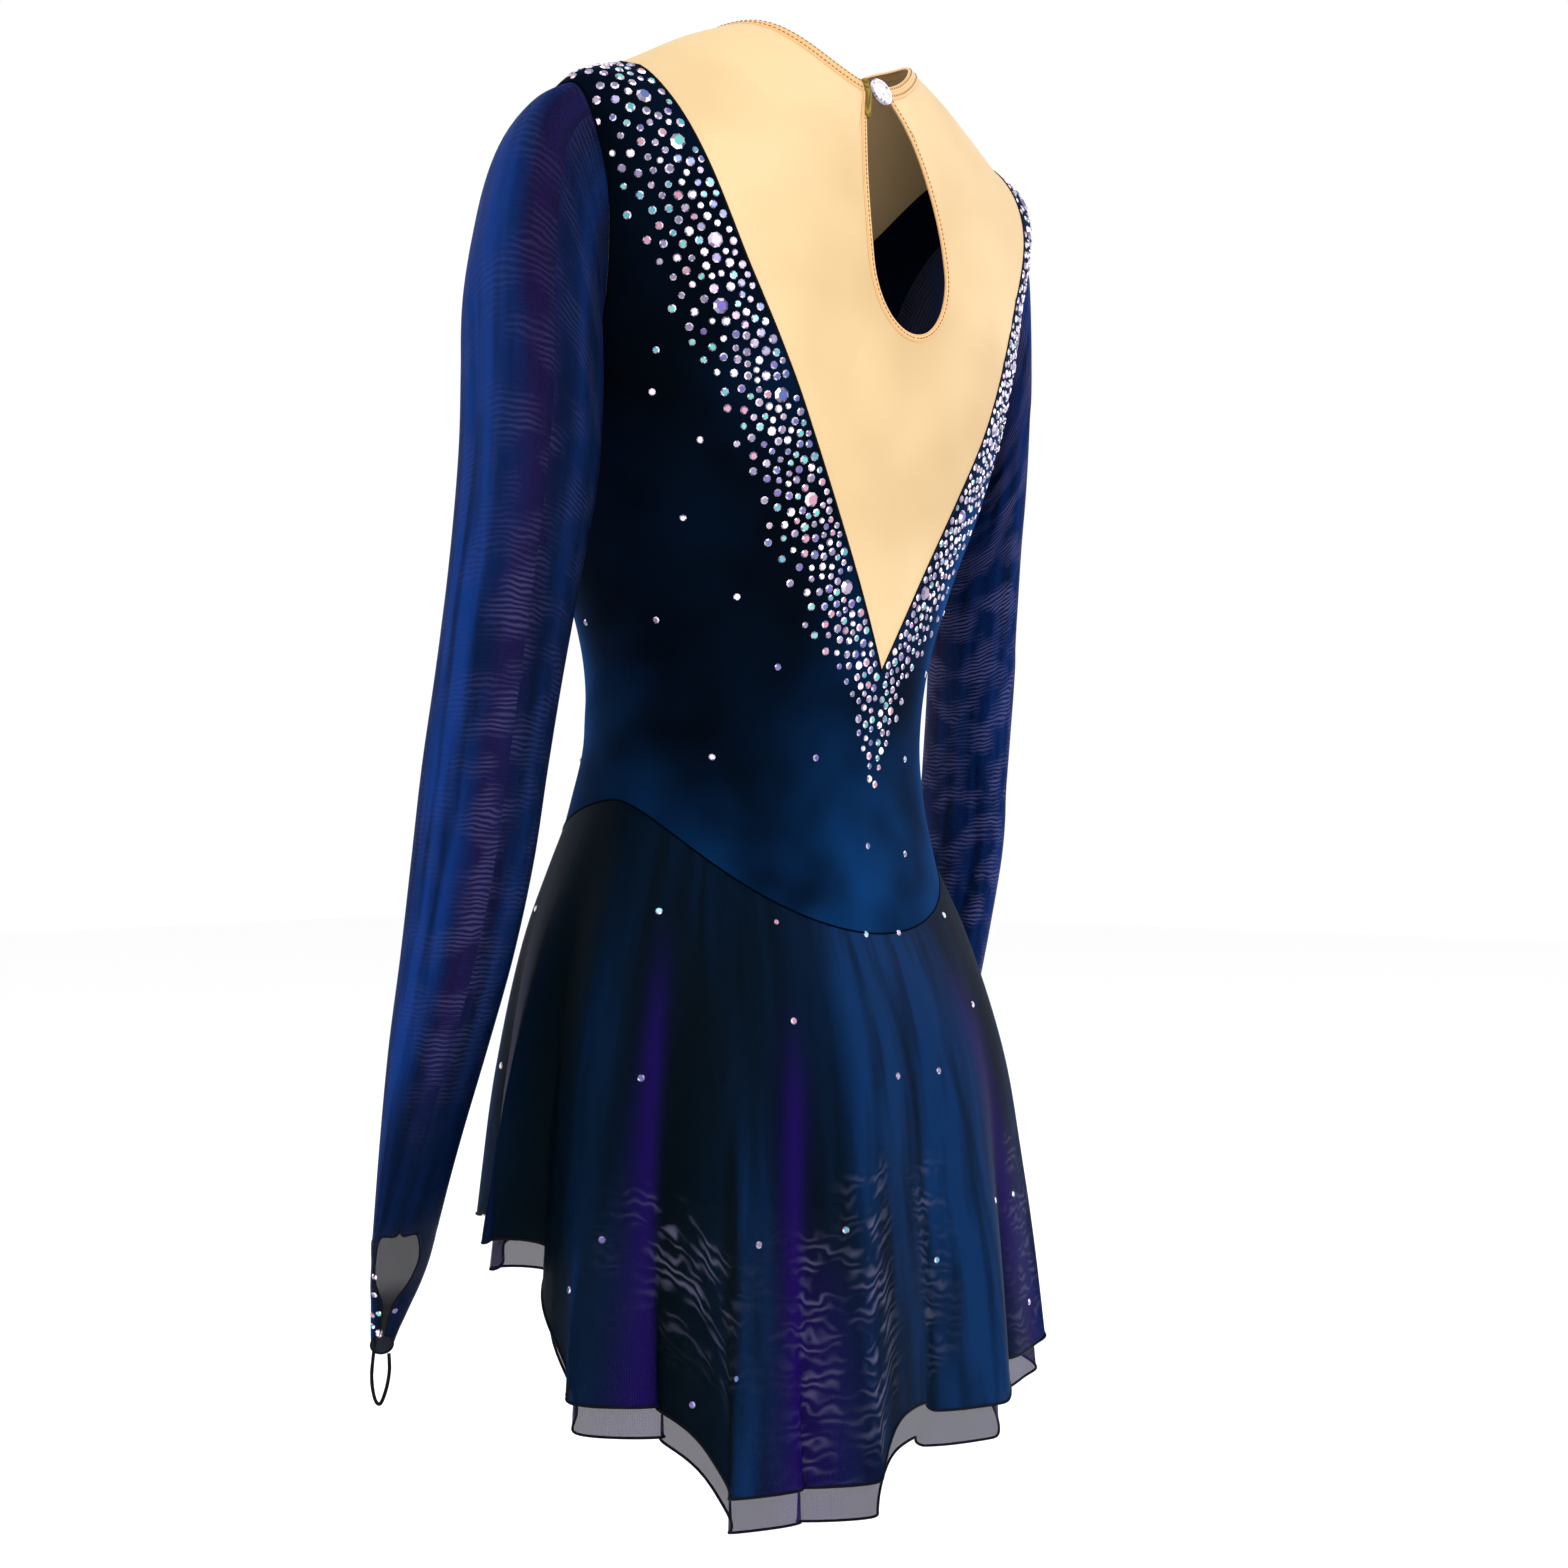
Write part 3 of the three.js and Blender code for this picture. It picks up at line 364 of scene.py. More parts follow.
def keyholeEdge(out):
    # The left half of the teardrop, or a line that runs a distance outside it
    share = np.linspace(0, 1, seams["keyholeSide"] * detail + 1)
    z = mix(keyhole["topZ"], keyhole["wideZ"], share)
    widening = np.sin(np.radians(90 * share)) ** keyhole["fullness"]
    upper = onBack(out + mix(keyhole["topHalf"], keyhole["wideHalf"], widening), z)
    c, s = cosSin(np.linspace(0, 90, seams["keyholeRound"] * detail + 1)[1:])
    lower = onBack((keyhole["wideHalf"] + out) * c, mix(keyhole["wideZ"], keyhole["bottomZ"] - out, s))
    lower[-1, 0] = 0
    edge = np.concatenate([upper, lower])
    top = solve(0, 60, keyhole["topHalf"] + out,
                lambda a: bodyPoint(a, belowNeck(a, seams["neckBindingWidth"])[..., 1])[..., 0])
    edge[0] = belowNeck(top, seams["neckBindingWidth"])
    return edge


def armholeEdge(reach):
    angle = np.linspace(0, 180, seams["vArm"] * detail + 1)
    share = (1 - np.cos(np.radians(angle))) / 2
    z = mix(armhole["topZ"], armhole["bottomZ"], share)
    y = mix(armhole["topY"], armhole["bottomY"], share) + reach * np.sin(np.radians(angle))
    edge = onSide(y, z)
    edge[0] = (90, tipPlace)
    edge[-1] = (90, placeAtHeight(90, armhole["bottomZ"]))
    return edge


def waistHeight(angle):
    c, _ = cosSin(angle)
    lowest = np.where(c >= 0, waistSeam["backZ"], waistSeam["frontZ"])
    return mix(waistSeam["sideZ"], lowest, np.abs(c) ** waistSeam["roundness"])


def downLine(angle, topZ, bottomZ, steps):
    z = np.linspace(topZ, bottomZ, steps * detail + 1)
    return atAngle(angle, placeAtHeight(angle, z))


def shoulderRun(first, last, steps):
    return atAngle(90, np.linspace(first, last, steps * detail + 1))


strapPlace = float(solve(0, 3, seams["strapInnerX"], lambda p: bodyPoint(90, p)[..., 0]))
tipPlace = float(placeAtHeight(90, armhole["topZ"]))
backV = vEdge(backVEdge, seams["vArm"] + seams["vWaist"], onBack)
backV[-1, 0] = 0
frontV = vEdge(frontVEdge, seams["frontV"], onFront)
frontV[-1, 0] = 180
keyholeInner = keyholeEdge(0)
keyholeOuter = keyholeEdge(seams["keyholeBindingWidth"])
neckBackAngles = np.linspace(90, keyholeOuter[0, 0], seams["neckBack"] * detail + 1)
neckFrontAngles = np.linspace(90, 180, seams["frontV"] * detail + 1)
neckBack = belowNeck(neckBackAngles, seams["neckBindingWidth"])
neckFront = belowNeck(neckFrontAngles, seams["neckBindingWidth"])
armholeBack = armholeEdge(armhole["back"])
armholeFront = armholeEdge(-armhole["front"])
sideSeam = downLine(90, armhole["bottomZ"], waistSeam["sideZ"], seams["vWaist"] + seams["backCentre"])
strap = shoulderRun(strapPlace, tipPlace, seams["across"])
yokeShoulder = shoulderRun(neckBack[0, 1], strapPlace, seams["yoke"])
print("seams are found")

# Making cloth from grids of points

cloth = {"velvet": 0.9, "mesh": 0.45, "binding": 1.1, "knit": 0.7}  # thicknesses
weldStep = 0.02
sharpFrom = 70  # degrees between two faces
creaseEnds = (0.12, 0.88)  # the part of half a wave that a crease's height follows from end to end
made = {}
bothArms = ((1, "Left"), (-1, "Right"))


def onBody(grid):
    return turned(bodyPoint(grid[..., 0], grid[..., 1]))


def mirroredGrid(grid):
    flippedGrid = grid[:, ::-1].copy()
    flippedGrid[..., 0] *= -1
    return flippedGrid


def creased(points, creases, closed=False):
    # Each crease is a soft trough or ridge along a straight run: two ends, its height and its half width.
    if not creases:
        return points
    normals = gridNormals(points, closed)
    depth = np.zeros(points.shape[:2])
    for crease in creases:
        start = np.array(crease["from"], float)
        run = np.array(crease["to"], float) - start
        share = np.clip(((points - start) @ run) / (run @ run), 0, 1)
        away = np.linalg.norm(points - start - share[..., None] * run, axis=-1)
        fade = np.sin(np.pi * mix(*creaseEnds, share))
        depth += crease["rise"] * fade * np.exp(-((away / crease["width"]) ** 2))
    return points + normals * depth[..., None]


def gridUv(points):
    # Distances along the cloth, in metres
    across = np.linalg.norm(np.diff(points, axis=1), axis=-1)
    down = np.linalg.norm(np.diff(points, axis=0), axis=-1)
    u = np.concatenate([[0], np.cumsum(across.mean(axis=0))])
    v = np.concatenate([[0], np.cumsum(down.mean(axis=1))])
    grid = np.stack(np.meshgrid(u, -v), axis=-1)
    return grid * mm


def smoothFaces(mesh):
    mesh.polygons.foreach_set("use_smooth", [True] * len(mesh.polygons))


def clothMesh(name, grids, inside, tints):
    # Grids of points joined along shared edges, with faces looking away from a line inside.
    # Each tint is a name with a grid of values for each grid of points.
    points = np.concatenate([grid.reshape(-1, 3) for grid in grids])
    uvs = np.concatenate([gridUv(grid).reshape(-1, 2) for grid in grids])
    faces = []
    start = 0
    for grid in grids:
        rows, columns = grid.shape[:2]
        ids = start + np.arange(rows * columns).reshape(rows, columns)
        quads = np.stack([ids[:-1, :-1], ids[:-1, 1:], ids[1:, 1:], ids[1:, :-1]], axis=-1)
        faces.append(quads.reshape(-1, 4))
        start += rows * columns
    faces = np.concatenate(faces)
    key = np.round(points / weldStep).astype(np.int64)
    _, first, weld = np.unique(key, axis=0, return_index=True, return_inverse=True)
    weld = weld.reshape(-1)
    corners = points[faces]
    normal = np.cross(corners[:, 2] - corners[:, 0], corners[:, 3] - corners[:, 1])
    outwards = (normal * (corners.mean(axis=1) - inside(corners.mean(axis=1)))).sum()
    if outwards < 0:
        faces = faces[:, ::-1]
    polygons = []
    loopSources = []
    for face in faces:
        kept = [i for n, i in enumerate(face) if weld[i] != weld[face[n - 1]]]
        if len({weld[i] for i in kept}) >= 3:
            polygons.append([int(weld[i]) for i in kept])
            loopSources.extend(kept)
    mesh = bpy.data.meshes.new(name)
    mesh.from_pydata((points[first] * mm).tolist(), [], polygons)
    layer = mesh.uv_layers.new(name="cloth")
    layer.data.foreach_set("uv", uvs[loopSources].reshape(-1))
    for tint, parts in tints.items():
        values = np.concatenate([np.asarray(part, np.float32).reshape(-1) for part in parts])[first]
        mesh.attributes.new(tint, "FLOAT", "POINT").data.foreach_set("value", values)
    smoothFaces(mesh)
    mesh.validate()
    return mesh


def link(name, mesh, material):
    mesh.materials.clear()
    mesh.materials.append(material)
    thing = bpy.data.objects.new(name, mesh)
    scene.collection.objects.link(thing)
    made[name] = thing
    return thing


def applied(thing):
    # The finished mesh with its modifiers taken up
    sceneGraph = bpy.context.evaluated_depsgraph_get()
    mesh = bpy.data.meshes.new_from_object(thing.evaluated_get(sceneGraph))
    thing.modifiers.clear()
    old = thing.data
    thing.data = mesh
    bpy.data.meshes.remove(old)
    mesh.name = thing.name
    return thing


def clothPiece(name, grids, thickness, material, inside, tints=None):
    thing = link(name, clothMesh(name, grids, inside, tints or {}), material)
    wall = thing.modifiers.new("wall", "SOLIDIFY")
    wall.thickness = thickness * mm
    wall.offset = -1
    wall.use_rim = True
    applied(thing)
    thing.data.set_sharp_from_angle(angle=math.radians(sharpFrom))
    return thing


def bodyInside(points):
    return np.stack([np.zeros(len(points)), np.full(len(points), bodyMiddleY), points[:, 2]], axis=-1)


# Materials


def newMaterial(name, base, roughness, **inputs):
    material = bpy.data.materials.new(name)
    material.use_nodes = True
    shader = material.node_tree.nodes["Principled BSDF"]
    shader.inputs["Base Color"].default_value = hexColour(base)
    shader.inputs["Roughness"].default_value = roughness
    for key, value in inputs.items():
        shader.inputs[key.replace("_", " ")].default_value = value
    return material, material.node_tree, shader


def attribute(tree, name):
    return addNode(tree, "ShaderNodeAttribute", {"attribute_name": name}).outputs["Fac"]


def blend(tree, share, first, second):
    # A mix of two colours, each a hex code or a socket
    node = addNode(tree, "ShaderNodeMix", {"data_type": "RGBA"}, Factor=share)
    for place, colour in ((6, first), (7, second)):
        if isinstance(colour, str):
            node.inputs[place].default_value = hexColour(colour)
        else:
            tree.links.new(colour, node.inputs[place])
    return node.outputs[2]


def bands(tree, place, width, direction="X", **inputs):
    # Even bands that repeat every width millimetres
    return addNode(tree, "ShaderNodeTexWave", {"bands_direction": direction}, Vector=place,
                   Scale=2 * math.pi / 20 / (width * mm), **inputs).outputs["Fac"]


def calculate(tree, operation, first, second):
    node = addNode(tree, "ShaderNodeMath", {"operation": operation}, input0=first, input1=second)
    return node.outputs["Value"]


def noise(tree, place, size, steps):
    # Cloudy patches about size millimetres across, with finer and finer ones in them
    node = addNode(tree, "ShaderNodeTexNoise", Vector=place, Scale=1 / (size * mm), Detail=steps)
    return node.outputs["Fac"]


def ranged(tree, value, span, first=0.0, last=1.0):
    # Values over a span, from low to high, become values from first to last.
    node = addNode(tree, "ShaderNodeMapRange", Value=value, From_Min=span[0], From_Max=span[1],
                   To_Min=first, To_Max=last)
    return node.outputs["Result"]


def objectPlace(tree):
    return addNode(tree, "ShaderNodeTexCoord").outputs["Object"]


def clothPlace(tree):
    return addNode(tree, "ShaderNodeUVMap", {"uv_map": "cloth"}).outputs["UV"]


def raised(tree, shader, height, relief):
    # Makes the surface look raised where the height is. The relief is a strength and a depth in mm.
    bump = addNode(tree, "ShaderNodeBump", Height=height, Strength=relief[0], Distance=relief[1] * mm)
    tree.links.new(bump.outputs["Normal"], shader.inputs["Normal"])


def stretchVelvet():
    # Polyester stretch velvet with a short pile: near black, with a lighter navy mixed in as painted sheen
    # and light, from an attribute on the mesh.
    # Tufts of pile are too fine to show, so the grain is drawn at 1.3 mm.
    look = {
        "deep": "#000204", "lifted": "#0a3f78", "sheen": "#1c5fb4",
        "patchSize": 75.0, "patchStrength": 0.7, "patchSpan": (0.35, 0.65),
        "pileGrain": 1.3, "pileRelief": (0.2, 0.2),
    }
    material, tree, shader = newMaterial(
        "stretchVelvet", look["deep"], 0.9, Sheen_Weight=0.26, Sheen_Roughness=0.3,
        Sheen_Tint=hexColour(look["sheen"]), Specular_IOR_Level=0.02)
    place = objectPlace(tree)
    patches = noise(tree, place, look["patchSize"], 2.0)
    spread = ranged(tree, patches, look["patchSpan"], 1 - look["patchStrength"], 1 + look["patchStrength"])
    # Painted light and sheen: the attribute, broken up by cloudy patches, mixes the deep colour towards the
    # lighter navy
    lift = calculate(tree, "MULTIPLY", attribute(tree, "lift"), spread)
    tree.links.new(blend(tree, lift, look["deep"], look["lifted"]), shader.inputs["Base Color"])
    raised(tree, shader, noise(tree, place, look["pileGrain"], 1.0), look["pileRelief"])
    return material


def nudeMesh():
    # Nylon power mesh in a skin tone: a fine knit, matt and slightly see-through. The knit's own rows lie
    # about 0.4 mm apart, too fine to show, so they are drawn at 1.2 mm.
    look = {
        "light": "#d4b98b", "dark": "#c5a675", "shade": "#b8996a", "sheen": "#ffe9c4",
        "shadeSize": 120.0, "shadeSpan": (0.45, 0.85), "knit": 1.2, "knitRelief": (0.15, 0.1),
    }
    material, tree, shader = newMaterial(
        "nudeMesh", look["light"], 0.65, Sheen_Weight=0.15, Sheen_Roughness=0.4,
        Sheen_Tint=hexColour(look["sheen"]), Specular_IOR_Level=0.3, Alpha=0.94)
    place = clothPlace(tree)
    wales = bands(tree, place, look["knit"])
    courses = bands(tree, place, look["knit"], "Y")
    knit = calculate(tree, "MULTIPLY", wales, courses)
    shade = ranged(tree, noise(tree, objectPlace(tree), look["shadeSize"], 2.0), look["shadeSpan"])
    colourBeneath = blend(tree, knit, look["light"], look["dark"])
    tree.links.new(blend(tree, shade, colourBeneath, look["shade"]), shader.inputs["Base Color"])
    raised(tree, shader, knit, look["knitRelief"])
    return material


def bindingKnit():
    # The same nude knit folded double and pressed: denser, a shade darker, ribbed across. The ribs are
    # drawn at 1.4 mm, coarser than the knit, to show at all.
    look = {"light": "#d8ad77", "dark": "#b98a52", "rib": 1.4}
    material, tree, shader = newMaterial("bindingKnit", look["light"], 0.75, Sheen_Weight=0.15)
    ribs = bands(tree, clothPlace(tree), look["rib"])
    tree.links.new(blend(tree, ribs, look["light"], look["dark"]), shader.inputs["Base Color"])
    return material


def sheerMesh(name, look):
    # Sheer stretch nylon net in a navy dye. Violet is painted over it as a shimmer and as shade, and a
    # lighter colour as painted light and sheen, both from attributes on the mesh. Through its holes the
    # layer behind shows, and where two nets lie on each other they make watered bands. A real net has some
    # three threads in a millimetre, too fine to show, so they are drawn 0.7 to 0.9 mm apart.
    material, tree, shader = newMaterial(
        name, look["navy"], 0.6, Sheen_Weight=look["sheenWeight"], Sheen_Roughness=0.3,
        Sheen_Tint=hexColour(look["sheen"]), Specular_IOR_Level=0.02)
    place = clothPlace(tree)
    # Painted violet shimmer and shade over the navy
    colourBeneath = blend(tree, attribute(tree, "violet"), look["navy"], look["violet"])
    drawn = addNode(tree, "ShaderNodeMapping", Vector=place, Scale=look["streakStretch"]).outputs["Vector"]
    streaks = ranged(tree, noise(tree, drawn, look["streakWidth"], 2.0), look["streakSpan"],
                     1 - look["streakStrength"], 1 + look["streakStrength"])
    # Painted light, broken into streaks, mixes in the lighter colour
    lift = calculate(tree, "MULTIPLY", attribute(tree, "lift"), streaks)
    lit = blend(tree, lift, colourBeneath, look["lifted"])
    water = bands(tree, place, look["waterWidth"], "Y", Distortion=look["waterWander"], Detail=1.0,
                  Detail_Scale=look["waterScale"])
    pools = ranged(tree, noise(tree, place, look["waterPool"], 1.0), look["poolSpan"])
    strands = calculate(tree, "POWER", water, look["waterFineness"])
    pooled = calculate(tree, "MULTIPLY", strands, pools)
    seen = calculate(tree, "MULTIPLY", pooled, attribute(tree, "watered"))
    tree.links.new(blend(tree, seen, lit, look["watered"]), shader.inputs["Base Color"])
    threads = calculate(tree, "MAXIMUM", bands(tree, place, look["thread"]),
                        bands(tree, place, look["thread"], "Y"))
    cover = ranged(tree, threads, (0.0, 1.0), look["holeCover"], look["threadCover"])
    thinned = calculate(tree, "MULTIPLY", attribute(tree, "thin"), look["thinning"])
    tree.links.new(calculate(tree, "SUBTRACT", cover, thinned), shader.inputs["Alpha"])
    return material


def yarn(name, light, dark, twist, roughness):
    # Plain yarn or knit: slanting ribs in two close shades, a little raised. The twist is in millimetres.
    material, tree, shader = newMaterial(name, light, roughness, Specular_IOR_Level=0.1)
    ribs = bands(tree, objectPlace(tree), twist, "DIAGONAL")
    tree.links.new(blend(tree, ribs, light, dark), shader.inputs["Base Color"])
    raised(tree, shader, ribs, ribRelief)
    return material


def pearlNylon():
    # Moulded nylon with a pearl lustre: cloudy white with small grey flecks
    look = {
        "white": "#d9d4dc", "cloud": "#a9a4b4", "fleck": "#6d6a78",
        "cloudSize": 5.0, "fleckSize": 2.6, "fleckSpan": (0.2, 0.35),
    }
    material, tree, shader = newMaterial("pearlNylon", look["white"], 0.35, Coat_Weight=0.3)
    place = objectPlace(tree)
    pearl = blend(tree, noise(tree, place, look["cloudSize"], 2.0), look["white"], look["cloud"])
    cells = addNode(tree, "ShaderNodeTexVoronoi", Vector=place, Scale=1 / (look["fleckSize"] * mm))
    flecks = ranged(tree, cells.outputs["Distance"], look["fleckSpan"], 1.0, 0.0)
    tree.links.new(blend(tree, flecks, pearl, look["fleck"]), shader.inputs["Base Color"])
    return material


ribRelief = (0.3, 0.1)
skirtNet = {
    "navy": "#00060b", "violet": "#140545", "lifted": "#05244a", "watered": "#56566f",
    "sheen": "#1d3f96", "sheenWeight": 0.02,
    "streakStretch": (1, 0.12, 1), "streakWidth": 16.0, "streakStrength": 0.55, "streakSpan": (0.35, 0.65),
    "waterWidth": 6.0, "waterWander": 8.0, "waterScale": 1.7, "waterPool": 16.0, "poolSpan": (0.42, 0.62),
    "waterFineness": 2.2, "thread": 0.8, "holeCover": 0.86, "threadCover": 0.97, "thinning": 0.0,
}
materials = {
    "velvet": stretchVelvet(),
    "nude": nudeMesh(),
    "binding": bindingKnit(),
    "sleeve": sheerMesh("sheerSleeveMesh", {
        **skirtNet, "navy": "#010816", "violet": "#140829", "lifted": "#0b2b68", "watered": "#4a4870",
        "sheen": "#2348b8", "sheenWeight": 0.05,
        "streakStretch": (1, 0.08, 1), "streakWidth": 11.0, "streakStrength": 0.6,
        "waterWidth": 2.6, "waterWander": 6.0, "waterScale": 0.8, "waterPool": 20.0,
        "waterFineness": 1.5, "thread": 0.9, "thinning": 0.2,
    }),
    "skirt": sheerMesh("sheerSkirtMesh", skirtNet),
    "underskirt": sheerMesh("sheerUnderskirtMesh", {
        **skirtNet, "navy": "#16122c", "violet": "#251a4c", "lifted": "#1d1a3c",
        "thread": 0.7, "holeCover": 0.56, "threadCover": 0.64,
    }),
}
materials["knit"] = yarn("darkKnit", "#05060f", "#020308", 1.1, 0.85)
materials["roll"] = yarn("darkRolledNet", "#03040b", "#010206", 0.9, 0.8)
materials["stitch"] = yarn("stitchThread", "#94702f", "#74561f", 0.5, 0.7)
materials["gold"] = yarn("goldThread", "#8a7530", "#57481a", 0.9, 0.6)
print("materials are mixed")

# Bodice and yokes

# Creases on the body: the ends are an angle from the back's middle and a height.
bodiceCreases = namedRows("from to rise width", [
    ((84, -352), (58, -380), -1.2, 8),
    ((80, -392), (46, -424), -1.4, 9),
    ((-84, -356), (-60, -386), -1.2, 8),
    ((-78, -396), (-48, -428), -1.3, 9),
    ((20, -400), (4, -452), 0.9, 12),
    ((104, -350), (128, -378), -1.1, 8),
    ((-104, -350), (-128, -376), -1.1, 8),
    ((100, -216), (124, -240), -1.0, 7),
    ((-100, -216), (-124, -240), -1.0, 7),
])
yokeCreases = namedRows("from to rise width", [
    ((-21, -126), (-40, -112), 0.8, 2.4),
    ((-22, -137), (-42, -130), -0.8, 2.4),
    ((-20, -148), (-40, -148), 0.8, 2.4),
    ((-16, -160), (-34, -170), -0.7, 2.6),
    ((20, -150), (36, -146), 0.6, 2.6),
    ((12, -170), (18, -196), -0.6, 3.0),
])
velvetPaintedShadeAndLight = {  # painted shade: dark pools on both sides of the body, over painted light that grows towards the bottom
    "angle": [66, 56, 118, 34, 76], "z": [-230, -385, -260, -300, -90],
    "spread": [30, 32, 34, 18, 44], "height": [150, 85, 130, 90, 90],
    "lift": 0.11, "paintedLightBelow": 0.17, "lowFrom": 300, "lowTo": 470, "depth": 0.82,
}
velvetPaintedSheen = {  # painted sheen: bright places on the velvet's flanks
    "angle": [-38, 126, -126], "z": [-335, -330, -330], "spread": [9, 14, 14], "height": [95, 95, 95],
    "strength": [0.5, 0.22, 0.22],
}


def bodyCreases(creases):
    found = []
    for crease in creases:
        ends = {key: onBody(atAngle(angle, placeAtHeight(angle, z)))
                for key, (angle, z) in (("from", crease["from"]), ("to", crease["to"]))}
        found.append({**crease, **ends})
    return found


# Painted light and shade on the velvet: a little light everywhere, more towards the bottom, dark pools of
# painted shade and bright places of painted sheen
def velvetPaintedLight(grid):
    z = onBody(grid)[..., 2]
    angle = grid[..., 0]
    lift = velvetPaintedShadeAndLight["lift"] + velvetPaintedShadeAndLight["paintedLightBelow"] * smooth(-z, velvetPaintedShadeAndLight["lowFrom"], velvetPaintedShadeAndLight["lowTo"])
    for middle, height, spread, reach in zip(
            velvetPaintedShadeAndLight["angle"], velvetPaintedShadeAndLight["z"], velvetPaintedShadeAndLight["spread"], velvetPaintedShadeAndLight["height"]):
        pool = np.exp(-(((np.abs(angle) - middle) / spread) ** 2) - ((z - height) / reach) ** 2)
        lift = lift * (1 - velvetPaintedShadeAndLight["depth"] * pool)
    for middle, height, spread, reach, strength in zip(
            velvetPaintedSheen["angle"], velvetPaintedSheen["z"], velvetPaintedSheen["spread"], velvetPaintedSheen["height"], velvetPaintedSheen["strength"]):
        glow = np.exp(-(((angle - middle) / spread) ** 2) - ((z - height) / reach) ** 2)
        lift = lift + strength * glow
    return np.clip(lift, 0, 1)


def bodyPiece(name, left, thickness, material, creases=()):
    halves = (left, mirroredGrid(left))
    shaped = [creased(onBody(grid), bodyCreases(creases)) for grid in halves]
    tints = {"lift": [velvetPaintedLight(grid) for grid in halves]}
    return clothPiece(name, shaped, thickness, materials[material], bodyInside, tints)


def bodiceGrid(middle, edge, edgeTable, bottomZ, armSide):
    # Between the V with the centre line below it, and the armhole with the side seam below it
    steps = seams["vArm"] + seams["vWaist"] + seams["backCentre"] - (len(edge) - 1) // detail
    centre = downLine(middle, edgeTable["z"][-1], bottomZ, steps)
    inner = np.concatenate([edge, centre[1:]])
    outer = np.concatenate([armSide, sideSeam[1:]])
    angles = np.linspace(middle, 90, seams["across"] * detail + 1)
    hem = atAngle(angles, placeAtHeight(angles, waistHeight(angles)))
    return patch(strap, hem, inner, outer)


def yokeBackGrid():
    inner = np.concatenate([neckBack, keyholeOuter[1:]])
    top = keyhole["bottomZ"] - seams["keyholeBindingWidth"]
    centre = downLine(0, top, backVEdge["z"][-1], seams["yoke"])
    return patch(yokeShoulder, centre, inner, backV)


def yokeFrontGrid():
    places = np.linspace(neckFront[-1, 1], frontV[-1, 1], seams["yoke"] * detail + 1)
    return patch(yokeShoulder, atAngle(180, places), neckFront, frontV)


bodiceBackLeft = bodiceGrid(0, backV, backVEdge, waistSeam["backZ"], armholeBack)
bodiceFrontLeft = bodiceGrid(180, frontV, frontVEdge, waistSeam["frontZ"], armholeFront)
bodyPiece("bodiceBackVelvet", bodiceBackLeft, cloth["velvet"], "velvet", bodiceCreases)
bodyPiece("bodiceFrontVelvet", bodiceFrontLeft, cloth["velvet"], "velvet", bodiceCreases)
bodyPiece("yokeBackMesh", yokeBackGrid(), cloth["mesh"], "nude", yokeCreases)
bodyPiece("yokeFrontMesh", yokeFrontGrid(), cloth["mesh"], "nude")

# Bindings: folded strips, a little fuller along their middle

binding = {"across": 4, "fullness": 0.5, "rise": 0.3, "middleZ": -60}


def bindingStrip(name, first, second):
    share = np.linspace(0, 1, binding["across"] + 1)[None, :, None]
    left = mix(first[:, None, :], second[:, None, :], share)
    rise = binding["rise"] + binding["fullness"] * np.sin(np.pi * share[0, :, 0])
    halves = []
    for grid in (left, mirroredGrid(left)):
        points = onBody(grid)
        normals = gridNormals(points)
        if (normals * (points - np.array([0, bodyMiddleY, binding["middleZ"]]))).sum() < 0:
            normals = -normals
        halves.append(points + normals * rise[None, :, None])
    return clothPiece(name, halves, cloth["binding"], materials["binding"], bodyInside)


neckEnd = solve(0, 60, keyhole["topHalf"], lambda a: bodyPoint(a, 0)[..., 0])
neckLower = np.concatenate([[keyholeInner[0]], neckBack[::-1], neckFront[1:]])
neckUpper = atAngle(np.concatenate([[neckEnd], neckLower[1:, 0]]), 0)
bindingStrip("neckBindingStrip", neckLower, neckUpper)
bindingStrip("keyholeBindingStrip", keyholeInner, keyholeOuter)
print("bodice, yokes and bindings are cut")

# Sleeves

sleeveForm = {
    "outX": [188, 197, 205, 209, 211, 211, 211, 212, 214, 216, 218, 221, 223, 227, 232],
    "outZ": [-55, -61, -76, -102, -136, -174, -215, -258, -304, -352, -402, -452, -502, -552, -600],
    "underX": [160, 164, 167, 168, 168, 168, 168, 170, 173, 177, 181, 184, 185, 186, 187],
    "underZ": [-210, -214, -221, -231, -243, -258, -278, -302, -332, -366, -408, -454, -502, -552, -600],
    "midY": [-34, -33, -32, -31, -31, -32, -34, -38, -43, -49, -56, -62, -72, -84, -94],
    "half": [41, 42, 43, 43, 43, 42, 40.5, 38.5, 37, 36.5, 36.5, 35.5, 32.5, 27.5, 20.5],
    "turn": [0, 2, 4, 6, 8, 10, 12, 14, 15, 15, 15, 15, 15, 15, 15],
}
cuffForm = {
    "midX": [211, 211.5, 212, 213, 214, 214.5, 215],
    "midY": [-103, -105, -107, -110, -113, -116, -118],
    "z": [-644, -653, -665, -678, -690, -700, -709],
    "out": [24, 23, 20.5, 17, 12.5, 9, 6.5],
    "half": [13.5, 13, 12, 10.5, 8.5, 7, 5.5],
    "part": [0, 34, 50, 44, 20, 14, 14],
}
cuffOpening = {"angle": 40.0, "tilt": 6.0, "turn": 15.0}
sleeve = {
    "rowsPerRing": 9, "headClear": 0.3, "headProud": 0.3, "wall": 1.2, "headFade": [1, 0.75, 0.45, 0.2],
    "rightFirstRings": 5,  # the rings over which the right arm leaves the left one's mirror image
}
nearby = {"angle": 0.2, "place": 0.02}  # steps to both sides that find a surface's direction
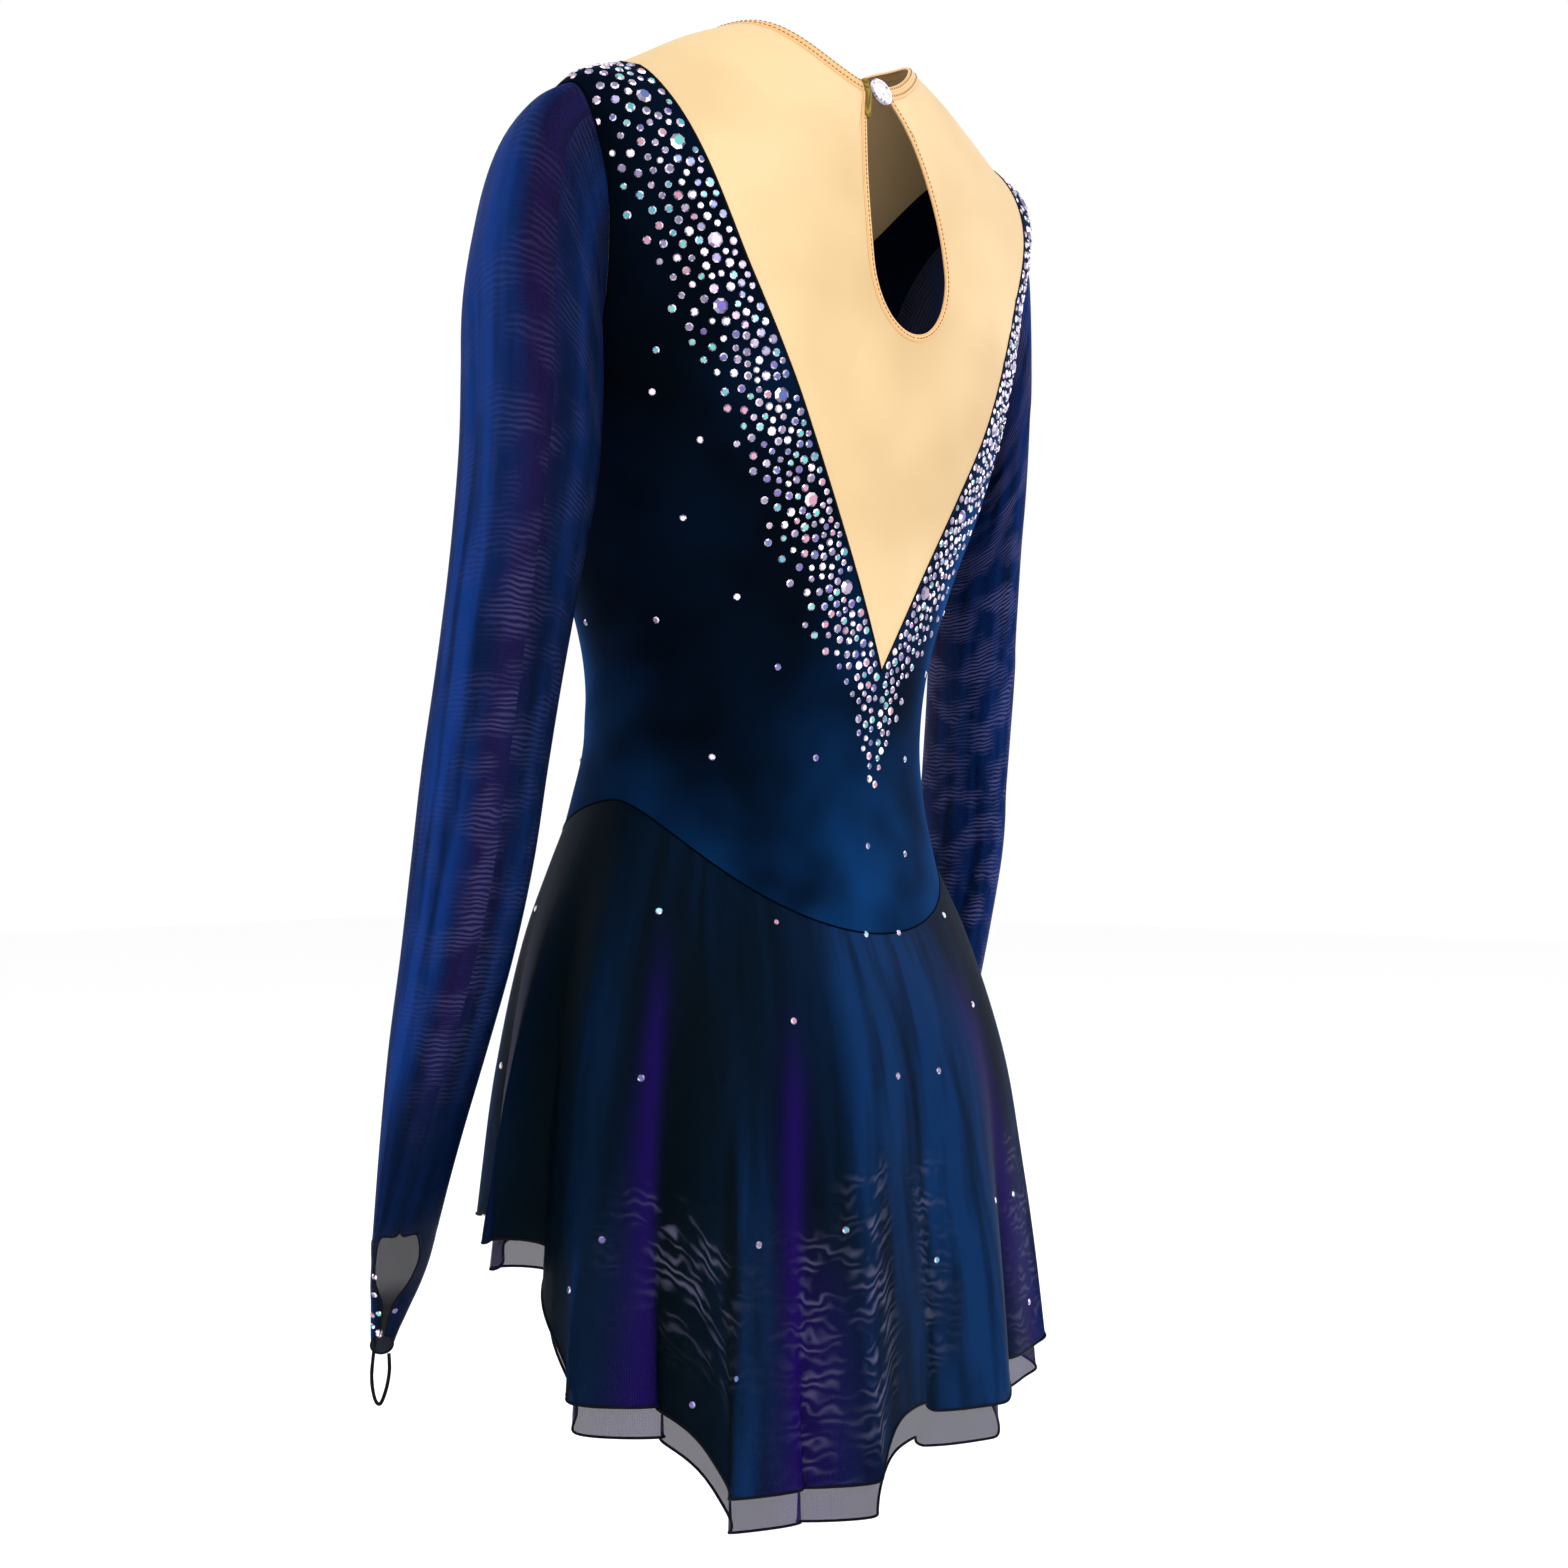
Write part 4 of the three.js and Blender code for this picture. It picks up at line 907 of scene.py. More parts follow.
# Where light is painted on the sleeves: the violet shimmer, the blue sheen at the outer edge, more sheen on
# the right sleeve, and the watered bands
sleeveTints = {
    "violetAngle": 27.0, "violetSpread": 17.0, "edgeAngle": -28.0, "edgeSpread": 30.0,
    "wristTop": -520.0, "wristZ": -620.0, "waterTop": -150.0, "waterZ": -330.0,
    "thinTop": -634.0, "thinZ": -652.0, "tipTop": -674.0, "tipZ": -692.0,
    "innerEdge": 0.14, "innerTurn": 96.0, "lift": 0.08, "wristEdge": 0.3, "armEdge": 0.9,
    "waterShare": 0.3, "tipCover": 0.75,
    "shade": {1: 0.0, -1: 0.3}, "waterBase": {1: 0.12, -1: 0.8},  # left and right
}
# Creases on a sleeve: the ends are an angle round the arm, from its outer side, and a height.
sleeveCreases = namedRows("from to rise width", [
    ((8, -120), (14, -330), -1.9, 7),
    ((34, -110), (44, -300), 1.7, 8),
    ((62, -190), (58, -330), -1.6, 6),
    ((-30, -130), (-22, -300), 1.4, 8),
    ((8, -372), (46, -420), -1.5, 8),
    ((-20, -400), (24, -456), 1.3, 8),
    ((40, -470), (28, -590), -1.4, 6),
    ((0, -520), (10, -640), 1.1, 6),
    ((150, -200), (140, -340), -1.6, 7),
    ((190, -380), (230, -430), 1.4, 8),
    ((250, -170), (262, -330), -1.6, 7),
    ((170, -500), (200, -600), 1.2, 6),
])
rightArm = {
    "z": [-60, -180, -320, -460, -600, -712],
    "inwards": [0, 9, 10, 5, -5, -8],
    "back": [0, 10, 17, 16, 10, 4],
}
armLoop = np.concatenate([armholeBack, armholeFront[1:-1][::-1]])
armColumns = len(armLoop)


def sleeveHead():
    # The armhole's edge, set back by half the sleeve's wall and a small gap
    angle, place = armLoop[:, 0], armLoop[:, 1]
    places = bodyPoint(angle, place)
    centre = places.mean(axis=0)
    across = bodyPoint(angle + nearby["angle"], place) - bodyPoint(angle - nearby["angle"], place)
    down = bodyPoint(angle, place + nearby["place"]) - bodyPoint(angle, place - nearby["place"])
    normal = unit(np.cross(across, down))
    normal *= np.sign((normal[:, :1] * places[:, :1]).mean())
    away = unit(np.cross(np.roll(places, -1, axis=0) - np.roll(places, 1, axis=0), normal))
    away *= np.sign((away * (centre - places)).sum(axis=1, keepdims=True))
    out = unit(places - centre)
    clear = sleeve["headClear"] + sleeve["wall"] / 2 * np.abs((away * out).sum(axis=1, keepdims=True))
    return places + normal * sleeve["headProud"] + away * clear


def sleeveRing(row, angle):
    form = {name: column[row] for name, column in sleeveForm.items()}
    c, s = cosSin(angle)
    turnC, turnS = cosSin(form["turn"])
    reachX = (form["outX"] - form["underX"]) / 2
    return np.stack(
        [(form["outX"] + form["underX"]) / 2 + reachX * turnC * c - form["half"] * turnS * s,
         form["midY"] + reachX * turnS * c + form["half"] * turnC * s,
         (form["outZ"] + form["underZ"]) / 2 + (form["outZ"] - form["underZ"]) / 2 * c], axis=-1)


def cuffRing(row):
    form = {name: column[row] for name, column in cuffForm.items()}
    first = cuffOpening["angle"]
    angle = np.linspace(first + form["part"], first + 360 - form["part"], armColumns + 1)
    c, s = cosSin(angle)
    turnC, turnS = cosSin(cuffOpening["turn"])
    tilt = cuffOpening["tilt"] * np.cos(np.radians(angle - first)) * (1 if form["part"] > 0 else 0)
    return np.stack(
        [form["midX"] + form["out"] * c * turnC - form["half"] * s * turnS,
         form["midY"] + form["out"] * c * turnS + form["half"] * s * turnC,
         form["z"] + tilt], axis=-1)


def armPoint(points, side, share):
    # The right arm is the left one's mirror image, moved inwards and back.
    if side > 0:
        return points
    place = solve(0, len(rightArm["z"]) - 1, np.clip(points[..., 2], rightArm["z"][-1], rightArm["z"][0]),
                  lambda p: curveAt(rightArm["z"], p))
    moved = points.copy()
    moved[..., 0] = -points[..., 0] + curveAt(rightArm["inwards"], place) * share
    moved[..., 1] += curveAt(rightArm["back"], place) * share
    return moved


def sleeveGrid(side, creases):
    columnAngles = np.arange(armColumns) * 360 / armColumns
    first = int(round(cuffOpening["angle"] / 360 * armColumns))
    head = sleeveHead()
    shape = head - sleeveRing(0, columnAngles)
    rows = []
    for row in range(len(sleeveForm["outX"])):
        fade = sleeve["headFade"][row] if row < len(sleeve["headFade"]) else 0
        ring = np.roll(sleeveRing(row, columnAngles) + shape * fade, -first, axis=0)
        rows.append(np.concatenate([ring, ring[:1]]))
    rows.extend(cuffRing(row) for row in range(len(cuffForm["z"])))
    share = smooth(np.arange(len(rows)), 0, sleeve["rightFirstRings"])
    keyRows = armPoint(np.array(rows), side, share[:, None])
    fine = curveAt(keyRows, np.linspace(0, len(rows) - 1, (len(rows) - 1) * sleeve["rowsPerRing"] + 1))
    angle = sleeveAngles(fine, first)
    runs = []
    for crease in creases:
        ends = {}
        for key in ("from", "to"):
            column = np.abs((angle - crease[key][0] + 180) % 360 - 180).argmin()
            row = np.abs(fine[:, column, 2] - crease[key][1]).argmin()
            ends[key] = fine[row, column]
        runs.append({**crease, **ends})
    return creased(fine, runs, closed=True), first


def sleeveAngles(grid, first):
    return (np.arange(grid.shape[1]) + first) * 360 / armColumns


def around(angle, middle, spread):
    # 1 at the middle angle, falling off to both sides
    away = (angle - middle + 180) % 360 - 180
    return np.exp(-((away / spread) ** 2))


def sleeveTintsOf(grid, first, side):
    # Painted light on the sleeve: a violet shimmer painted down the middle of each face, a blue painted
    # sheen at its outer edge, both fading to navy towards the wrist
    look = sleeveTints
    angle = sleeveAngles(grid, first)[None, :]
    z = grid[..., 2]
    above = 1 - smooth(-z, -look["wristTop"], -look["wristZ"])
    violet = sum(around(angle, look["violetAngle"] + turn, look["violetSpread"]) for turn in (0, 180))
    edge = around(angle, look["edgeAngle"], look["edgeSpread"])
    inner = around(angle, look["edgeAngle"] + look["innerTurn"], look["edgeSpread"] / 2)
    edge = edge + look["innerEdge"] * inner
    edge = edge + look["shade"][side]
    lift = edge * mix(look["wristEdge"], look["armEdge"], above) + look["lift"]
    low = smooth(-z, -look["waterTop"], -look["waterZ"])
    watered = violet * low * look["waterShare"] + look["waterBase"][side]
    tip = smooth(-z, -look["tipTop"], -look["tipZ"])
    thin = smooth(-z, -look["thinTop"], -look["thinZ"]) * (1 - look["tipCover"] * tip)
    return {"violet": [violet * above], "lift": [np.clip(lift, 0, 1)],
            "watered": [watered * above], "thin": [thin]}


def makeSleeve(name, side):
    grid, first = sleeveGrid(side, sleeveCreases)
    middles = grid.mean(axis=1)

    def inside(points):
        nearest = np.abs(points[:, None, 2] - middles[None, :, 2]).argmin(axis=1)
        return middles[nearest]

    clothPiece(name, [grid], cloth["mesh"], materials["sleeve"], inside, sleeveTintsOf(grid, first, side))
    return grid


sleeveGrids = {side: makeSleeve(f"sleeve{word}Mesh", side) for side, word in bothArms}
print("sleeves are set in")

# Skirt

skirtForm = {
    "z": [-421, -494, -567, -624, -691, -790],
    "half": [122, 152, 171, 179, 184, 188],
    "backY": [42, 63, 79, 85, 90, 94],
    "frontY": [-137, -152, -157, -159, -162, -165],
}
hemLine = {
    "angle": [0, 12, 22, 47, 57, 77, 92, 104, 120, 134, 150, 167, 182, 197, 212, 228, 243, 257, 268, 283,
              300, 316, 332, 347, 360],
    "z": [-772, -766, -795, -792, -754, -740, -672, -667, -657, -662, -664, -684, -672, -682, -662, -668,
          -658, -666, -676, -738, -742, -760, -762, -774, -772],
}
flares = {
    "angle": [20, 47, 77, 103, 134, 167, 197, 228, 257, 283, 314, 347],
    "height": [0.8, 1, 0.9, 1, 0.4, 0.8, 0.9, 0.8, 1, 0.85, 1, 0.7],
}
skirt = {
    "middleY": -48.0, "square": 2.1, "standOff": 55.0, "ripple": 14.0, "rippleGrowth": 1.4,
    "overShorterBack": 20.0, "overShorterSide": 11.0, "seamGap": 0.3, "wall": 1.2,
    "layerApartHem": 8.0, "layerApartGrowth": 1.4,
    "columns": 260, "rows": 64, "rowGrowth": 1.15, "lean": 9.0,
}


def flarePhase(angle):
    # The share of the way from each crest to the next, and the height there
    crests = np.array(flares["angle"] + [flares["angle"][0] + 360], float)
    heights = np.array(flares["height"] + [flares["height"][0]])
    at = (np.asarray(angle, float) - crests[0]) % 360 + crests[0]
    i = np.clip(np.searchsorted(crests, at, side="right") - 1, 0, len(crests) - 2)
    share = (at - crests[i]) / (crests[i + 1] - crests[i])
    return share, mix(heights[i], heights[i + 1], share)


def hemHeight(angle):
    return alongTable(hemLine, "angle", np.asarray(angle, float) % 360, "z")


def overHemHeight(angle):
    back = (1 + cosSin(angle)[0]) / 2
    return hemHeight(angle) + mix(skirt["overShorterSide"], skirt["overShorterBack"], back)


def skirtPoint(angle, z):
    top = waistHeight(angle)
    bodyAt = bodyPoint(angle, placeAtHeight(angle, np.maximum(z, bodyForm["sideZ"][-1])))
    form = {name: alongTable(skirtForm, "z", z, name) for name in ("half", "backY", "frontY")}
    c, s = cosSin(angle)
    reach = squareReach(c, s, skirt["square"])
    middle = skirt["middleY"]
    depth = np.where(c >= 0, form["backY"] - middle, middle - form["frontY"])
    hung = np.stack([form["half"] * s * reach, middle + depth * c * reach], axis=-1)
    stand = (1 - np.exp(-(top - z) / skirt["standOff"]))[..., None]
    flat = mix(bodyAt[..., :2], hung, stand)
    share = np.clip((top - z) / (top - hemHeight(angle)), 0, None)
    phase, height = flarePhase(angle)
    away = unit(flat - np.array([0, middle]))
    sideways = np.stack([-away[..., 1], away[..., 0]], axis=-1)
    swell = skirt["ripple"] * share ** skirt["rippleGrowth"] * height
    flat = flat + away * (swell * np.cos(2 * np.pi * phase))[..., None]
    lean = skirt["lean"] * share ** 2 * height * np.sin(4 * np.pi * phase)
    flat = flat + sideways * lean[..., None]
    return np.concatenate([flat, z[..., None]], axis=-1)


def skirtGrid(first, last, under):
    angle = np.linspace(first, last, skirt["columns"] + 1)[None, :]
    share = np.linspace(0, 1, skirt["rows"] + 1)[:, None] ** skirt["rowGrowth"]
    hem = hemHeight(angle) if under else overHemHeight(angle)
    z = mix(waistHeight(angle) + 0 * share, hem, share)
    angle = np.broadcast_to(angle, z.shape)
    points = skirtPoint(angle, z)
    if under:
        outwards = points - np.array([0, skirt["middleY"], 0])
        outwards[..., 2] = 0
        apart = share ** skirt["layerApartGrowth"]
        inwards = mix(skirt["wall"] + skirt["seamGap"], skirt["layerApartHem"], apart)
        points = points - unit(outwards) * inwards[..., None]
    return turned(points), angle, share


# Long painted stripes down the skirt: violet painted on the flares' sides turned from the light, painted
# light along crests and edges, and painted shade in valleys and fold lines. Each gives the angle at the
# waist and at the hem, the half width in degrees, the share of the way down where it begins, and its
# strength
skirtViolet = namedRows("top hem half start strength", [
    (62, 67, 3.0, 0.1, 0.85),
    (32, 37, 3.0, 0.12, 0.9),
    (30, 29, 6.0, 0.5, 0.6),
    (-14, -44, 7.0, 0.0, 0.9),
    (-70, -74, 4.5, 0.1, 0.8),
    (-104, -110, 4.0, 0.15, 0.9),
    (112, 108, 4.0, 0.2, 0.5),
    (146, 142, 5.0, 0.15, 0.8),
    (178, 176, 6.0, 0.3, 0.8),
    (214, 210, 5.0, 0.15, 0.8),
])
skirtPaintedLight = namedRows("top hem half start strength", [
    (2, -14, 15.0, -0.6, 0.9),
    (42, 43, 3.0, 0.3, 0.55),
    (74, 76, 3.0, 0.4, 0.3),
    (16, 12, 6.0, -0.2, 0.5),
    (-60, -58, 10.0, -0.3, 0.6),
    (-92, -94, 8.0, 0.0, 0.6),
    (134, 134, 8.0, 0.0, 0.6),
    (166, 164, 10.0, -0.2, 0.7),
    (198, 196, 8.0, 0.0, 0.6),
    (228, 228, 8.0, 0.0, 0.6),
])
skirtPaintedShade = namedRows("top hem half start strength", [
    (52, 54, 10.0, 0.0, 0.8),
    (15, 14.5, 2.5, 0.35, 0.9),
    (46, 46.5, 2.0, 0.3, 0.9),
    (92, 94, 14.0, -0.5, 0.8),
    (-26, -30, 2.5, 0.1, 0.6),
    (6, 1, 1.3, 0.05, 0.55),
    (-4, -19, 1.6, 0.08, 0.55),
    (26, 24, 1.6, 0.1, 0.6),
    (66, 75, 1.8, 0.1, 0.5),
    (-48, -50, 2.5, 0.1, 0.6),
    (-82, -84, 3.0, 0.1, 0.7),
    (122, 120, 4.0, 0.1, 0.7),
    (152, 150, 3.5, 0.1, 0.7),
    (184, 182, 3.5, 0.1, 0.7),
    (220, 217, 3.5, 0.1, 0.7),
])
skirtWater = {  # where the two nets water, low between the flares, and down from the briefs' edge
    "angle": [56, 30, 19, 2, -40, -74, 150, 182, 212],
    "half": [9, 6, 4, 4, 6, 6, 7, 7, 7],
    "start": [0.6, 0.55, 0.44, 0.45, 0.5, 0.5, 0.5, 0.5, 0.5],
    "end": [0.72, 0.9, 0.85, 0.8, 0.9, 0.9, 0.9, 0.9, 0.9],
    "strength": [0.55, 0.4, 0.75, 0.4, 0.4, 0.4, 0.4, 0.4, 0.4],
    "fade": 0.05, "endFade": 0.2,
}
# Painted light over the whole skirt, lighter on the flares' crests and darker in their valleys, and less
# violet where painted shade lies
skirtTone = {
    "lift": 0.12, "crestPaintedLight": 0.2, "crestFrom": 0.1, "crestTo": 0.5, "tintFade": 0.3, "violetInDark": 0.6,
}


def longTints(tints, angle, share):
    total = np.zeros(np.broadcast(angle, share).shape)
    for tint in tints:
        middle = mix(tint["top"], tint["hem"], share)
        down = smooth(share, tint["start"], tint["start"] + skirtTone["tintFade"])
        total += tint["strength"] * around(angle, middle, tint["half"]) * down
    return np.clip(total, 0, 1)


def skirtTints(angle, share):
    # The painted shade takes away painted light and some of the violet
    dark = longTints(skirtPaintedShade, angle, share)
    phase, height = flarePhase(angle)
    low = smooth(share, skirtTone["crestFrom"], skirtTone["crestTo"])
    crest = skirtTone["crestPaintedLight"] * height * np.cos(2 * np.pi * phase) * low
    watered = np.zeros(dark.shape)
    for middle, half, start, end, strength in zip(
            skirtWater["angle"], skirtWater["half"], skirtWater["start"], skirtWater["end"],
            skirtWater["strength"]):
        below = smooth(share, start, start + skirtWater["fade"])
        ending = 1 - smooth(share, end, end + skirtWater["endFade"])
        watered += strength * around(angle, middle, half) * (below * ending)
    lift = (longTints(skirtPaintedLight, angle, share) + crest + skirtTone["lift"]) * (1 - dark)
    violet = longTints(skirtViolet, angle, share) * (1 - skirtTone["violetInDark"] * dark)
    return {"violet": [violet], "lift": [np.clip(lift, 0, 1)], "watered": [np.clip(watered, 0, 1)]}


def makeSkirtPanel(name, first, last, under):
    points, angle, share = skirtGrid(first, last, under)
    material = materials["underskirt" if under else "skirt"]
    clothPiece(name, [points], cloth["mesh"], material, bodyInside, skirtTints(angle, share))
    return points


skirtPanels = {
    "skirtOverBackMesh": (-90, 90, False),
    "skirtOverFrontMesh": (90, 270, False),
    "skirtUnderBackMesh": (-90, 90, True),
    "skirtUnderFrontMesh": (90, 270, True),
}
skirtGrids = {name: makeSkirtPanel(name, *panel) for name, panel in skirtPanels.items()}
print("skirt is gathered")

# Briefs

briefs = {
    "inwards": 4.0, "belowSeam": 1.0, "round": 96, "down": 30, "gusset": 24, "gussetShare": 4 / 16,
    "legBackZ": -628.0, "legSideZ": -622.0, "legFrontZ": -606.0,
    "crotchZ": -655.0, "crotchEdgeZ": -649.0, "crotchHalf": 30.0, "crotchY": -45.0,
}


def briefsHalf(name, front):
    # The body's form from waist to legs, and a gusset that curves down from its middle to the crotch
    middle = 180 if front else 0
    angle = np.linspace(middle - 90, middle + 90, briefs["round"] + 1)[None, :]
    share = np.linspace(0, 1, briefs["down"] + 1)[:, None]
    c = cosSin(angle)[0]
    leg = mix(briefs["legSideZ"], np.where(c >= 0, briefs["legBackZ"], briefs["legFrontZ"]), np.abs(c))
    z = mix(waistHeight(angle) - briefs["belowSeam"], leg, share)
    angle = np.broadcast_to(angle, z.shape)
    points = turned(bodyPoint(angle, placeAtHeight(angle, z)))
    normals = gridNormals(points)
    normals *= np.sign((normals[..., :2] * (points[..., :2] - np.array([0, bodyMiddleY]))).sum())
    upper = points - normals * briefs["inwards"]
    reach = int(briefs["round"] * briefs["gussetShare"] / 2)
    centre = briefs["round"] // 2
    edge = upper[-1, centre - reach:centre + reach + 1]
    across = np.linspace(-1, 1, 2 * reach + 1)
    crotch = np.stack(
        [(-1 if front else 1) * across * briefs["crotchHalf"],
         np.full(across.shape, briefs["crotchY"]),
         mix(briefs["crotchZ"], briefs["crotchEdgeZ"], across ** 2)], axis=-1)
    crotch = turned(crotch)
    round90 = np.radians(90 * np.linspace(0, 1, briefs["gusset"] + 1))[:, None]
    gusset = np.stack(
        [mix(edge[None, :, 0], crotch[None, :, 0], np.sin(round90)),
         mix(edge[None, :, 1], crotch[None, :, 1], 1 - np.cos(round90)),
         mix(edge[None, :, 2], crotch[None, :, 2], np.sin(round90))], axis=-1)
    return clothPiece(name, [upper, gusset], cloth["knit"], materials["knit"], bodyInside)


briefsHalf("briefsBackKnit", False)
briefsHalf("briefsFrontKnit", True)
print("briefs are sewn")

# Rolled edges: the turned velvet along the V, the narrow hems of skirt and cuffs, the waist seam

roll = {  # how many sides a roll has, and the radius of each kind
    "sides": 8, "vEdge": 0.7, "hem": 0.75, "waist": 0.55, "armhole": 0.85, "cuff": 0.6, "loop": 1.0,
    "waistPoints": 240,
    "slant": [0.13, 0.21, 0.97],  # a direction that none of them runs in
}


def tube(points, radius, closed=False):
    # Rings of vertices around a run of points, and the faces between them
    points = np.asarray(points, float)
    if closed:
        tangent = np.roll(points, -1, axis=0) - np.roll(points, 1, axis=0)
    else:
        tangent = np.gradient(points, axis=0)
    tangent = unit(tangent)
    sideways = unit(np.cross(tangent, roll["slant"]))
    upwards = np.cross(sideways, tangent)
    sides = roll["sides"]
    c, s = cosSin(np.arange(sides) * 360 / sides)
    ring = c[None, :, None] * sideways[:, None] + s[None, :, None] * upwards[:, None]
    vertices = (points[:, None] + ring * radius).reshape(-1, 3)
    count = len(points)
    faces = []
    for i in range(count if closed else count - 1):
        here = i * sides
        there = (i + 1) % count * sides
        for n in range(sides):
            after = (n + 1) % sides
            faces.append((here + n, there + n, there + after, here + after))
    if not closed:
        faces.append(tuple(range(sides)))
        faces.append(tuple(reversed(range((count - 1) * sides, count * sides))))
    return vertices, faces


def rolledEdge(name, runs, radius, material):
    vertices = []
    faces = []
    for points, closed in runs:
        start = sum(len(part) for part in vertices)
        tubeVertices, tubeFaces = tube(points, radius, closed)
        vertices.append(tubeVertices)
        faces.extend(tuple(start + i for i in face) for face in tubeFaces)
    mesh = bpy.data.meshes.new(name)
    mesh.from_pydata((np.concatenate(vertices) * mm).tolist(), [], faces)
    work = bmesh.new()
    work.from_mesh(mesh)
    bmesh.ops.recalc_face_normals(work, faces=work.faces)
    work.to_mesh(mesh)
    work.free()
    smoothFaces(mesh)
    return link(name, mesh, material)


def bothSides(edge):
    other = edge.copy()
    other[:, 0] *= -1
    return [(onBody(edge), False), (onBody(other), False)]


def hemRun(first, second):
    return [(np.concatenate([first[-1], second[-1, 1:-1]]), True)]


def cuffRun(grid):
    first = len(sleeveForm["outX"]) * sleeve["rowsPerRing"]
    up = grid[first:, 0]
    return [(np.concatenate([up[:-1], grid[-1], grid[first:-1, -1][::-1]]), False)]


rolledEdge("bodiceBackTurnedEdge", bothSides(backV), roll["vEdge"], materials["roll"])
rolledEdge("bodiceFrontTurnedEdge", bothSides(frontV), roll["vEdge"], materials["roll"])
waistAngles = np.arange(roll["waistPoints"]) * 360 / roll["waistPoints"]
waistRun = onBody(atAngle(waistAngles, placeAtHeight(waistAngles, waistHeight(waistAngles))))
rolledEdge("waistSeamRoll", [(waistRun, True)], roll["waist"], materials["velvet"])
for side, word in bothArms:
    run = onBody(armLoop * [side, 1])
    rolledEdge(f"armhole{word}Roll", [(run, True)], roll["armhole"], materials["velvet"])
for layer in ("Over", "Under"):
    front = skirtGrids[f"skirt{layer}FrontMesh"]
    back = skirtGrids[f"skirt{layer}BackMesh"]
    rolledEdge(f"skirt{layer}Hem", hemRun(back, front), roll["hem"], materials["roll"])
for side, word in bothArms:
    rolledEdge(f"cuff{word}Hem", cuffRun(sleeveGrids[side]), roll["cuff"], materials["roll"])
print("edges are rolled")

# Finger loops: narrow elastic from one side of each cuff's point to the other

loopRoute = {
    "x": [6.2, 2.5, -2.2, -5.4, -6.0],
    "y": [-1, -3, -4, -3, -1],
    "down": [8, 21, 25, 18, 8],
    "belowTip": 7.3, "points": 60, "endGap": 1.3, "fromAngles": (360, 180),
}


def loopPath(side):
    tip = {name: column[-1] for name, column in cuffForm.items()}
    last = cuffRing(len(cuffForm["z"]) - 1)
    first = cuffOpening["angle"]
    angles = np.linspace(first + tip["part"], first + 360 - tip["part"], armColumns + 1)
    start, end = (last[np.abs(angles - wanted).argmin()] - [0, 0, loopRoute["endGap"]]
                  for wanted in loopRoute["fromAngles"])
    hanging = [[tip["midX"] + x, tip["midY"] + y, tip["z"] - loopRoute["belowTip"] - down]
               for x, y, down in zip(loopRoute["x"], loopRoute["y"], loopRoute["down"])]
    route = armPoint(np.array([start, *hanging, end]), side, 1)
    return curveAt(route, np.linspace(0, len(route) - 1, loopRoute["points"]))


for side, word in bothArms:
    rolledEdge(f"finger{word}Elastic", [(loopPath(side), False)], roll["loop"], materials["roll"])

# Crystals and stitches, set out as points that carry their own size, tint and direction

studFaces = {"around": 8, "rings": 5}


def studTree(name, shape, sizes):
    # Geometry Nodes: one shape on each point, turned to the point's normal and sized by it
    tree = bpy.data.node_groups.new(name, "GeometryNodeTree")
    tree.is_modifier = True
    tree.interface.new_socket("Points", in_out="INPUT", socket_type="NodeSocketGeometry")
    for key, value in sizes.items():
        socket = tree.interface.new_socket(key, in_out="INPUT", socket_type="NodeSocketFloat")
        socket.default_value = value
    tree.interface.new_socket("Finish", in_out="INPUT", socket_type="NodeSocketMaterial")
    tree.interface.new_socket("Studs", in_out="OUTPUT", socket_type="NodeSocketGeometry")
    inputs = addNode(tree, "NodeGroupInput").outputs
    normal = addNode(tree, "GeometryNodeInputNamedAttribute", {"data_type": "FLOAT_VECTOR"}, Name="facing")
    along = addNode(tree, "GeometryNodeInputNamedAttribute", {"data_type": "FLOAT_VECTOR"}, Name="along")
    size = addNode(tree, "GeometryNodeInputNamedAttribute", {"data_type": "FLOAT"}, Name="size")
    upright = addNode(tree, "FunctionNodeAlignRotationToVector", {"axis": "Z"},
                      Vector=normal.outputs["Attribute"])
    aimed = addNode(tree, "FunctionNodeAlignRotationToVector", {"axis": "X", "pivot_axis": "Z"},
                    Rotation=upright.outputs["Rotation"], Vector=along.outputs["Attribute"])
    if shape == "crystal":
        cone = addNode(tree, "GeometryNodeMeshCone", Vertices=studFaces["around"], Depth=inputs["Height"],
                       Radius_Top=inputs["Table"], Radius_Bottom=inputs["Girdle"])
        facet = addNode(tree, "FunctionNodeRandomValue", {"data_type": "FLOAT"}, Seed=crystals["seed"])
        body = cone.outputs["Mesh"]
        onFaces = {"data_type": "FLOAT", "domain": "FACE"}
        for key, value in (("facet", facet.outputs[1]), ("table", cone.outputs["Top"])):
            stored = addNode(tree, "GeometryNodeStoreNamedAttribute", onFaces, Geometry=body, Name=key,
                             Value=value)
            body = stored.outputs["Geometry"]
    else:
        ball = addNode(tree, "GeometryNodeMeshUVSphere", Segments=studFaces["around"],
                       Rings=studFaces["rings"], Radius=0.5)
        stretch = addNode(tree, "ShaderNodeCombineXYZ", X=inputs["Length"], Y=inputs["Width"],
                          Z=inputs["Height"])
        body = addNode(tree, "GeometryNodeTransform", Geometry=ball.outputs["Mesh"],
                       Scale=stretch.outputs["Vector"]).outputs["Geometry"]
    placed = addNode(tree, "GeometryNodeInstanceOnPoints", Points=inputs["Points"], Instance=body,
                     Rotation=aimed.outputs["Rotation"], Scale=size.outputs["Attribute"])
    real = addNode(tree, "GeometryNodeRealizeInstances", Geometry=placed.outputs["Instances"])
    dressed = addNode(tree, "GeometryNodeSetMaterial", Geometry=real.outputs["Geometry"],
                      Material=inputs["Finish"])
    output = addNode(tree, "NodeGroupOutput")
    tree.links.new(dressed.outputs["Geometry"], output.inputs["Studs"])
    return tree


